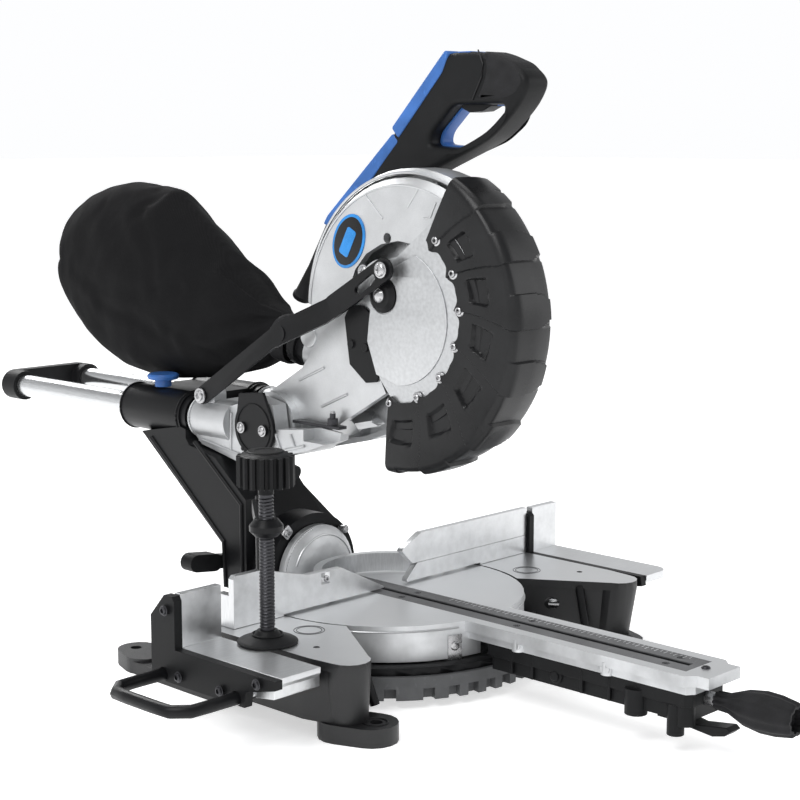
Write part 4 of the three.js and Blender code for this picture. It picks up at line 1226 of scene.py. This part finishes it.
@dataclass
class Head:
    """Cast blade housing, its badge and its fittings."""

    face: float = -27.0
    badge: tuple[float, float] = (25.0, 414.0)

    def build(self) -> None:
        """Adds the relief cast into the housing."""
        form = Form()
        rim = [(self.face - 0.2, *point) for point in arc(ARBOR, 122.5, 2, 116, 48)]
        form.tube(rim, 1.1, 8)
        shelf = [(self.face + 10, *point) for point in arc(ARBOR, 134.0, 2, 116, 48)]
        form.tube(shelf, 1.6, 8)
        for facet in (((2, 458), (-20, 437)), ((-52, 448), (-66, 466))):
            form.tube([(self.face - 0.1, *point) for point in facet], 0.9, 8)
        notch = ((-88, 454), (-81, 440), (-73, 439))
        form.tube([(self.face - 0.2, *point) for point in notch], 0.9, 8)
        form.slab("x", arc((82, 318), 11, 0, 345, 23), self.face - 1.6, self.face + 1, 1.0)
        for y, z in ((96, 273), (64, 250)):
            form.tube([(self.face - 0.3, y, z), (self.face - 0.3, y - 36, z + 16)], 1.4, 8)
        form.piece("housing_relief", Look.SMOOTH_CAST, "head", "cast_silver")

    def dress(self) -> None:
        """Adds the badge, the screws and the tapered boot behind the housing."""
        for name, look, slot, size, lift in (
            ("badge_border", Look.BADGE, "blue_plastic", (27.5, 20.5), 1.0),
            ("badge_field", Look.SHELL, "black_plastic", (24.6, 17.6), 1.5),
        ):
            oval = Form().slab("x", self._oval(*size), self.face - lift, self.face + 0.4, 0.5)
            oval.piece(name, look, "head", slot)
        window = rounded([self._at(u, v) for u, v in ((-15, -6.5), (13, -6.5), (13, 6.5), (-15, 6.5))], 3)
        panel = Form().slab("x", window, self.face - 1.9, self.face, 0.3)
        panel.piece("badge_panel", Look.BADGE, "head", "blue_plastic")
        screws = Form()
        for x, y, z, radius, collar in (
            (-26.6, 6, 386, 5.2, 6.8),
            (-26.6, -56, 407, 5.2, 6.8),
            (-29.4, 19, 316, 3.9, 4.1),
            (-29.4, 0, 314, 3.9, 4.1),
        ):
            screws.turned((x, y, z), (-1, 0, 0), ((collar, 0), (collar, 0.8), (radius, 1.2)), 24)
            screws.screw((x - 1.0, y, z), (-1, 0, 0), radius, 1.6)
        screws.piece("housing_screws", Look.BOLT, "head", "steel")
        profile = ((9.5, 0), (10.5, 1.5), (10.5, 5), (9.0, 7), (8.0, 20), (6.6, 40), (6.4, 92))
        cone = Form().turned((46.0, 171, 345), (0, -0.52, 0.85), profile, 24)
        cone.piece("motor_lead_boot", Look.RUBBER, "head", "grip_rubber")

    def _at(self, u: float, v: float) -> tuple[float, float]:
        """Turns a point of the badge's own axes into one on the housing.

        Args:
            u: distance along the badge.
            v: distance across it.

        Returns:
            The point as (y, z).
        """
        y, z = self.badge
        lean = math.radians(118)
        return (y + u * math.cos(lean) - v * math.sin(lean), z + u * math.sin(lean) + v * math.cos(lean))

    def _oval(self, long: float, short: float) -> Outline:
        """Oval outline about the badge's centre."""
        angles = [math.tau * i / 48 for i in range(48)]
        return [self._at(long * math.cos(angle), short * math.sin(angle)) for angle in angles]


@dataclass
class Handle:
    """Carrying and trigger handle in two colours."""

    left: float = 27.5
    right: float = 62.0
    outline: tuple[tuple[float, float], ...] = (
        (120, 436), (68, 448), (18, 520), (-37, 583), (-48, 590), (-80, 591), (-106, 586), (-134, 577),
        (-147, 566), (-147, 556), (-136, 539), (-108, 514), (-86, 503), (-28, 480), (10, 462), (64, 420),
        (96, 410),
    )
    hole: tuple[tuple[float, float], ...] = (
        (-57, 542), (-29, 516), (-27, 504), (-62, 502), (-96, 514), (-117, 529), (-121, 542),
    )

    def build(self) -> None:
        """Makes the black body, the blue spine and the blue lining of the opening."""
        opening = rounded(list(self.hole), 7)
        body = Form().slab("x", rounded(list(self.outline), 15), self.left, self.right, 6.0, (opening,), 4)
        body.piece("handle_body", Look.PLASTIC, "head", "black_plastic", ("handle",), 50.0)
        upper = [(21, 521), (-41, 585), (-49, 593), (-53, 589), (-45, 572), (12, 511)]
        lower = [(118, 425), (112, 434), (20, 516), (12, 508), (62, 458), (88, 420)]
        spine = Form()
        spine.slab("x", rounded(upper, 3), self.left - 1.2, self.right - 3, 1.6)
        spine.slab("x", rounded(lower, 3), self.left - 0.6, self.right - 3, 1.6)
        spine.piece("handle_blue_spine", Look.BLUE, "head", "blue_plastic", ("handle_spine",), 50.0)
        middle = Vector((-76, 525))
        lining = [tuple(middle + (Vector(point) - middle) * 0.93) for point in opening]
        outside = [tuple(middle + (Vector(point) - middle) * 1.05) for point in opening]
        ring = Form().slab("x", outside, 44.0, self.right - 3, 0.6, (lining,))
        ring.piece("handle_lining", Look.BLUE, "head", "blue_plastic", smooth=50.0)

    def dress(self) -> None:
        """Adds the soft grip and its seam."""
        grip = [
            (-91, 591.2), (-97, 578), (-95, 566), (-84, 545), (-118, 543), (-136, 548), (-147, 562),
            (-134, 578), (-107, 588),
        ]
        pad = Form().slab("x", rounded(grip, 8), self.left - 0.7, self.right + 0.7, 6.4, (), 4)
        pad.piece("handle_grip", Look.RUBBER, "head", "grip_rubber", smooth=50.0)
        seam = [(-90, 591.6), (-96, 579), (-94.5, 567), (-83, 546)]
        line = Form().tube([(self.left - 0.6, y, z) for y, z in seam], 0.7, 6)
        line.piece("grip_seam", Look.SHELL, "head", "black_plastic")


# ---------------------------------------------------------------- base, table and arm


@dataclass
class Base:
    """Base casting's marks, screws and its mitre scale."""

    scale_top: float = 34.15
    stops: tuple[float, ...] = (0.0, 15.0, 22.5, 31.6, 45.0)

    def build(self) -> None:
        """Adds the ribs of the feet and the ring marks of the tables."""
        ribs = Form()
        for side in (-1, 1):
            for x, y in ((150.5, -133.0), (201.0, -120.0)):
                foot = (side * x, y + 2, 20)
                ribs.tube([foot, (side * (x + (6 if x < 180 else -3)), y + 17, 66)], 4.5, 12)
            rim = arc((side * 176, -157), 10.5, 0, 345, 23)
            ribs.tube([(u, v, 15.8) for u, v in rim], 1.6, 8, True)
        ribs.piece("foot_ribs", Look.BLACK_PAINT, "base", "base_paint")
        marks = Form()
        for side in (-1, 1):
            for radius in (14.0, 11.5):
                ring = arc((side * 153, -50), radius, 0, 350, 35)
                marks.tube([(x, y, TABLE) for x, y in ring], 0.35, 6, True)
        marks.piece("table_marks", Look.DARK_STEEL, "base", "machined")

    def dress(self) -> None:
        """Adds the ticks and numbers of the scale and the table screws."""
        ticks = Form()
        for degree in range(-48, 49):
            long = degree % 5 == 0
            turn = math.radians(degree - 90)
            low, high = 137.6, 143.5 if long else 141.0
            across = Vector((-math.sin(turn), math.cos(turn), 0)) * (0.32 if long else 0.2)
            ends = [Vector((r * math.cos(turn), r * math.sin(turn), 0)) for r in (low, high)]
            corners = [ends[0] + across, ends[1] + across, ends[1] - across, ends[0] - across]
            ticks.rings([[corner + Vector((0, 0, z)) for corner in corners] for z in (self.scale_top, 34.5)])
        ticks.piece("mitre_ticks", Look.WHITE, "base", "machined")
        for sign in (-1, 1):
            for stop in self.stops:
                if stop == 0.0 and sign < 0:
                    continue
                turn = math.radians(sign * stop - 90)
                at = (146.2 * math.cos(turn), 146.2 * math.sin(turn), 34.4)
                name = f"mitre_number_{'r' if sign > 0 else 'l'}_{int(stop)}"
                label(name, f"{stop:g}", at, (0, 0, turn + math.pi / 2), 4.2, "base")
        screws = Form()
        for side in (-1, 1):
            screws.screw((side * 185, -93.5, TABLE - 4), (0, 0, 1), 2.9, 3.2, Drive.HEX)
        for x in (-150, -112, 112, 150):
            screws.turned((x, 24, TABLE), (0, 0, 1), ((6, 0), (6, 1), (5, 1.4), (0.5, 1.4)), 24)
            screws.screw((x, 24, TABLE + 1), (0, 0, 1), 4.4, 5.0, Drive.HEX)
        screws.screw((-84.5, -0.6, TABLE + 26.5), (0, -1, 0), 3.2, 1.6, Drive.HEX)
        screws.piece("table_screws", Look.BOLT, "base", "steel")


@dataclass
class Turntable:
    """Pointer, ruler and screws of the turntable and its arm."""

    def build(self) -> None:
        """Adds the skirt's lip, the mitre pointer and the arm's fittings."""
        lip = Form()
        skirt = [point for point in arc((0, 0), 134.4, -250, 70, 96) if abs(point[0]) > 32 or point[1] > 0]
        left = [point for point in skirt if point[0] < 0]
        right = [point for point in skirt if point[0] > 0]
        for run in (left, right):
            lip.tube([(x, y, 66.5) for x, y in run], 0.8, 6)
        for side in (-1, 1):
            for y in (-190, -290):
                lip.turned((side * 28.5, y, 60), (side, 0, 0), ((5, 0), (5, 2.2), (4, 3), (0.5, 3)), 20)
        lip.piece("table_relief", Look.SMOOTH_CAST, "turntable", "cast_silver")
        clip = Form()
        lean = -108.5
        plate = [*arc((0, 0), 135.4, lean - 3, lean + 3, 6), *arc((0, 0), 133.8, lean + 3, lean - 3, 6)]
        clip.rings([[(x, y, z) for x, y in plate] for z in (36, 60)])
        toward = (math.cos(math.radians(lean)), math.sin(math.radians(lean)), 0)
        clip.screw((135.2 * toward[0], 135.2 * toward[1], 50), toward, 4.6, 1.1)
        clip.piece("mitre_pointer", Look.BOLT, "turntable", "steel")
        ring = Form()
        for radius, depth in ((7.0, 1.6), (4.4, 3.6)):
            profile = ((radius, 0), (radius, depth), (radius - 0.8, depth + 0.6), (0.5, depth + 0.6))
            ring.turned((-23.5, -232, 40), (-1, 0, 0), profile, 24)
        for y in (-182, -206, -262, -292, -320):
            for side in (-1, 1):
                corners = [(side * u, v) for u, v in ((26.8, 31), (24, 31), (24, 52), (26.8, 52))]
                ring.slab("y", rounded(corners, 0.8), y - 1.4, y + 1.4, 0.4)
        ring.piece("arm_ribs", Look.PLASTIC, "turntable", "black_plastic")

    def dress(self) -> None:
        """Adds the ruler, the insert's screws and the rubber grip's flutes."""
        ruler = Form()
        for i in range(0, 56):
            y = -72.0 - 5.0 * i
            reach = 6.5 if i % 2 == 0 else 4.0
            box = [(17.6 - reach, y - 0.22), (17.6, y - 0.22), (17.6, y + 0.22), (17.6 - reach, y + 0.22)]
            ruler.rings([[(u, v, z) for u, v in box] for z in (TABLE - 0.2, TABLE - 0.05)])
        ruler.piece("kerf_ruler", Look.WHITE, "turntable", "machined")
        screws = Form()
        for y in (-340, -175, -30):
            for x in (-11, 11):
                screws.screw((x, y, TABLE - 2.5), (0, 0, 1), 3.1, 2.2)
        screws.screw((0, -373, TABLE), (0, 0, 1), 4.0, 1.8)
        screws.piece("insert_screws", Look.DARK_STEEL, "turntable", "steel")
        skin = [
            (8.2, 0), (8.7, 12), (10.2, 16), (15.2, 29), (17.7, 45.5), (17.2, 60), (14.7, 75), (13.2, 76.8),
            (11, 76.8), (9.5, 69), (0.5, 68),
        ]
        rows = []
        for (radius, along), (next_radius, next_along) in zip(skin, skin[1:]):
            for k in range(4):
                share = k / 4
                rows.append((radius + (next_radius - radius) * share, along + (next_along - along) * share))
        rows.append(skin[-1])
        grip = Form().turned((0, -385.2, 47), (0, -1, 0), rows, 120, (10, 1.5))
        grip.piece("fluted_grip", Look.RUBBER, "mitre_lock", "grip_rubber", ("mitre_lock_grip",), 50.0)


# ---------------------------------------------------------------- column, carriage, clamp and extensions


@dataclass
class Column:
    """Bevel dome's scale, its clip and the column's ribs and collars."""

    scale_front: float = 97.0
    scale_back: float = 99.4

    def build(self) -> None:
        """Adds the raised scale plate and the dome's ring."""
        plate = [*arc((0, TABLE), 48.4, 100, 186, 24), *arc((0, TABLE), 38.5, 186, 100, 24)]
        scale = Form().slab("y", plate, self.scale_front, self.scale_back, 0.3)
        scale.piece("bevel_scale", Look.PLATE, "turntable", "machined")
        upper = Form()
        upper.tube([(x, 91.5, z) for x, z in arc((0, TABLE), 40, 20, 160, 36)], 1.2, 8)
        upper.piece("dome_relief", Look.SMOOTH_CAST, "turntable", "cast_silver")

    def dress(self) -> None:
        """Adds the ticks, the pointer clip, the stop bolt, the column's ribs and the rails' collars."""
        ticks = Form()
        for degree in range(102, 185, 4):
            turn = math.radians(degree)
            reach = 6.5 if degree % 8 == 6 else 4.2
            across = Vector((-math.sin(turn), 0, math.cos(turn))) * 0.3
            ends = [Vector((r * math.cos(turn), 0, TABLE + r * math.sin(turn))) for r in (47.6 - reach, 47.6)]
            corners = [ends[0] + across, ends[1] + across, ends[1] - across, ends[0] - across]
            faces = (self.scale_front, self.scale_front - 0.2)
            ticks.rings([[corner + Vector((0, y, 0)) for corner in corners] for y in faces])
        ticks.piece("bevel_ticks", Look.DARK_STEEL, "turntable", "machined")
        clip = Form()
        clip.slab("y", rounded([(-38, 110), (-30, 118), (-37, 127), (-46, 118)], 3), 103.5, 105.8, 0.6)
        clip.screw((-38, 103.8, 118), (0, -1, 0), 4.2, 2.4, Drive.HEX)
        clip.turned((37, 106, 110), (0.2, -1, 0.1), ((4.2, 0), (4.2, 8), (3.4, 9), (0.5, 9)), 20)
        clip.piece("bevel_clip", Look.BOLT, "column", "steel")
        ribs = Form()
        fronts = {
            -67.4: ((140, 60), (140, 146), (212, 202)),
            67.4: ((140, 60), (140, 104), (216, 150), (258, 198)),
        }
        for x, line in fronts.items():
            ribs.tube([(x, y, z) for y, z in line], 2.2, 10)
            ribs.tube([(x, y, z) for y, z in ((166, 58), (168, 104), (284, 198))], 2.2, 10)
        for x in (-RAIL_X, RAIL_X):
            for y in (240, 334):
                ring = arc((x, RAIL_Z), 24.2, 0, 350, 35)
                ribs.tube([(u, y, v) for u, v in ring], 1.1, 8, True)
        ribs.piece("column_ribs", Look.BLACK_PAINT, "column", "black_paint")


@dataclass
class Carriage:
    """Details of the pivot bracket and of the rails' end."""

    def build(self) -> None:
        """Adds the bracket's ribs and collars."""
        form = Form()
        for x in (-56.6, 56.6):
            for line in (((214, 203), (150, 194), (100, 204), (58, 215)), ((216, 238), (168, 238))):
                form.tube([(x, y, z) for y, z in line], 1.5, 8)
            for first, second in (((92, 206), (100, 222)), ((72, 212), (78, 224)), ((168, 198), (166, 236))):
                form.tube([(x, *first), (x, *second)], 1.3, 8)
        for x in (-RAIL_X, RAIL_X):
            ring = arc((x, RAIL_Z), 21.4, 0, 350, 35)
            form.tube([(u, 222.5, v) for u, v in ring], 1.2, 8, True)
        form.piece("bracket_ribs", Look.CASTING, "carriage", "cast_silver")

    def dress(self) -> None:
        """Adds the bracket's screws, the pivot cover's teeth, the rails' end rims and the link's screw."""
        screws = Form()
        for dy in (-15, 17):
            washer = ((5.6, 0), (5.6, 0.7), (4.6, 1.0), (0.5, 1.0))
            screws.turned((-62.4, HINGE[0] + dy, 224), (-1, 0, 0), washer, 24)
            screws.screw((-63.2, HINGE[0] + dy, 224), (-1, 0, 0), 4.4, 2.2)
        screws.screw((-69.4, 201, 251), (-1, 0, 0), 5.6, 2.2, Drive.HEX)
        screws.turned((-35.5, 40, 242), (0, 0, 1), ((2.6, 0), (2.6, 6), (2.1, 7), (0.4, 7)), 16)
        screws.piece("bracket_screws", Look.BOLT, "carriage", "steel")
        teeth = Form()
        for i in range(9):
            turn = math.radians(235 + 9 * i)
            y = HINGE[0] + 28.5 * math.cos(turn)
            z = HINGE[1] + 28.5 * math.sin(turn)
            teeth.turned((-60.8, y, z), (1, 0, 0), ((2.2, 0), (2.2, 3.4)), 10)
        ring = arc(HINGE, 24.5, 0, 350, 35)
        teeth.tube([(-60.7, y, z) for y, z in ring], 0.9, 8, True)
        for x in (-RAIL_X, RAIL_X):
            rim = arc((x, RAIL_Z), 15.6, 0, 350, 35)
            teeth.tube([(u, 570.0, v) for u, v in rim], 0.9, 8, True)
        teeth.piece("pivot_cover_teeth", Look.PLASTIC, "carriage", "black_plastic")
        link = Form()
        link.turned((-48.4, -38, 391), (-1, 0, 0), ((7.6, 0), (7.6, 0.6), (6.6, 0.9), (0.5, 0.9)), 28)
        link.screw((-49.2, -38, 391), (-1, 0, 0), 6.2, 2.6)
        link.piece("link_screw", Look.BOLT, "link", "steel")


@dataclass
class Clamp:
    """Thread and trim of the hold-down clamp."""

    centre: tuple[float, float] = (-205.0, -52.0)
    pitch: float = 3.0
    thread_foot: float = 86.0
    thread_top: float = 205.0
    turn_steps: int = 12

    def build(self) -> None:
        """Winds the screw's thread."""
        coil = Form()
        turns = int((self.thread_top - self.thread_foot) / self.pitch)
        line = []
        for i in range(turns * self.turn_steps + 1):
            angle = math.tau * i / self.turn_steps
            x = self.centre[0] + 6.2 * math.cos(angle)
            y = self.centre[1] + 6.2 * math.sin(angle)
            line.append((x, y, self.thread_foot + self.pitch * i / self.turn_steps))
        coil.tube(line, 0.85, 6)
        coil.piece("clamp_thread", Look.DARK_STEEL, "clamp_spindle", "steel")

    def dress(self) -> None:
        """Adds the knob's cap and the pad's two beads."""
        centre = self.centre
        knob = Form()
        cap = ((16.4, 0), (16.4, 0.8), (15.4, 1.5), (10, 1.5), (9.4, 0.9), (0.5, 0.9))
        knob.turned((*centre, 242.6), (0, 0, 1), cap, 48)
        ring = arc(centre, 26.2, 0, 355, 71)
        knob.tube([(x, y, 73.6) for x, y in ring], 0.9, 8, True)
        inner = arc(centre, 13.6, 0, 350, 35)
        knob.tube([(x, y, 80.0) for x, y in inner], 0.9, 8, True)
        knob.piece("clamp_trim", Look.PLASTIC, "clamp_spindle", "black_plastic")


@dataclass
class SideExtensions:
    """Screws and under-strip of the left extension table."""

    screws: tuple[tuple[float, float], ...] = ((-1, 106), (-19, 50), (-74, 50), (-121, 66))

    def build(self) -> None:
        """Adds the bright strip under the left table."""
        strip = Form()
        strip.slab("x", rounded([(-128, 51), (-104, 48), (-104, 60), (-128, 62)], 1), -266, -214, 0.4)
        strip.piece("left_strip", Look.PLATE, "left_extension", "machined")

    def dress(self) -> None:
        """Adds the end plate's screws."""
        heads = Form()
        for y, z in self.screws:
            heads.turned((-279.4, y, z), (-1, 0, 0), ((4.9, 0), (4.9, 0.5), (4.2, 0.8), (0.5, 0.8)), 24)
            heads.screw((-280.0, y, z), (-1, 0, 0), 3.8, 1.8, Drive.HEX)
        heads.piece("end_plate_screws", Look.DARK_STEEL, "left_extension", "steel")


NODE_LOOKS: dict[str, tuple[Look, float]] = {
    "base_casting": (Look.BASE, 0.8),
    "detent_ring": (Look.GREY, 0.6),
    "mitre_scale": (Look.PLASTIC, 0.0),
    "fence": (Look.PLATE, 0.6),
    "right_fence_upper": (Look.PLATE, 0.6),
    "fence_lock_knob": (Look.PLASTIC, 0.6),
    "left_end_plate": (Look.PLASTIC, 1.2),
    "left_extension_table": (Look.PLATE, 0.6),
    "left_bail_rod": (Look.BLACK_PAINT, 0.0),
    "right_inner_plate": (Look.PLASTIC, 1.2),
    "right_extension_table": (Look.PLATE, 0.6),
    "right_guide_rods": (Look.RAIL, 0.0),
    "clamp_arm": (Look.BLACK_PAINT, 1.0),
    "clamp_screw": (Look.DARK_STEEL, 0.0),
    "clamp_knob": (Look.PLASTIC, 0.8),
    "clamp_pad": (Look.PLASTIC, 0.6),
    "turntable": (Look.TABLE, 0.8),
    "turntable_pivot_bolt": (Look.BOLT, 0.4),
    "kerf_insert": (Look.INSERT, 0.3),
    "arm_underbody": (Look.PLASTIC, 1.0),
    "bevel_pivot_bolt": (Look.BOLT, 0.4),
    "mitre_lock_rod": (Look.BOLT, 0.4),
    "mitre_lock_grip": (Look.RUBBER, 0.8),
    "detent_lever": (Look.PLASTIC, 0.8),
    "bevel_column": (Look.BLACK_PAINT, 1.2),
    "left_rail_bush": (Look.GREY, 0.0),
    "right_rail_bush": (Look.GREY, 0.0),
    "slide_lock_knob": (Look.BLUE, 0.6),
    "bevel_lock_lever": (Look.PLASTIC, 1.0),
    "left_rail": (Look.RAIL, 0.0),
    "right_rail": (Look.RAIL, 0.0),
    "rail_end_cap": (Look.PLASTIC, 1.2),
    "pivot_bracket": (Look.CASTING, 1.2),
    "pivot_pin": (Look.BOLT, 0.4),
    "pivot_cover": (Look.BLACK_PAINT, 0.5),
    "laser_module": (Look.PLASTIC, 0.5),
    "depth_stop": (Look.DARK_STEEL, 0.4),
    "link_pivot_pin": (Look.BOLT, 0.5),
    "head_casting": (Look.SMOOTH_CAST, 1.0),
    "guard_stop_plate": (Look.BLACK_PAINT, 0.4),
    "gear_case": (Look.CASTING, 1.5),
    "motor_housing": (Look.PLASTIC, 1.2),
    "front_brush_cap": (Look.PLASTIC, 0.6),
    "rear_brush_cap": (Look.PLASTIC, 0.6),
    "spindle_lock_button": (Look.PLASTIC, 0.6),
    "cord_gland": (Look.RUBBER, 0.6),
    "dust_spout": (Look.PLASTIC, 0.6),
    "handle": (Look.PLASTIC, 4.0),
    "handle_spine": (Look.BLUE, 1.0),
    "lock_off_button": (Look.BLUE, 0.8),
    "trigger": (Look.PLASTIC, 1.2),
    "dust_bag": (Look.CLOTH, 0.0),
    "saw_blade": (Look.BLADE, 0.0),
    "spindle": (Look.BOLT, 0.3),
    "outer_flange": (Look.BOLT, 0.5),
    "arbor_bolt": (Look.DARK_STEEL, 0.5),
    "guard_disc": (Look.GUARD_PLATE, 0.2),
    "guard_shell": (Look.SHELL, 0.8),
    "guard_pivot_bolt": (Look.BLACK_PAINT, 0.5),
    "link_arm": (Look.BLACK_PAINT, 0.5),
}


def main() -> None:
    """Builds the stage, then dresses the saw."""
    logging.basicConfig(level=logging.INFO, format="%(message)s")
    Stage().build()
    for node, (look, edge) in NODE_LOOKS.items():
        dress(node, look, edge)
        log.info("dressed %s", node)
    assemblies = (
        DustBag(),
        LowerGuard(),
        Head(),
        Handle(),
        Base(),
        Turntable(),
        Column(),
        Carriage(),
        Clamp(),
        SideExtensions(),
    )
    for assembly in assemblies:
        assembly.build()
        assembly.dress()


if __name__ == "__main__":
    main()
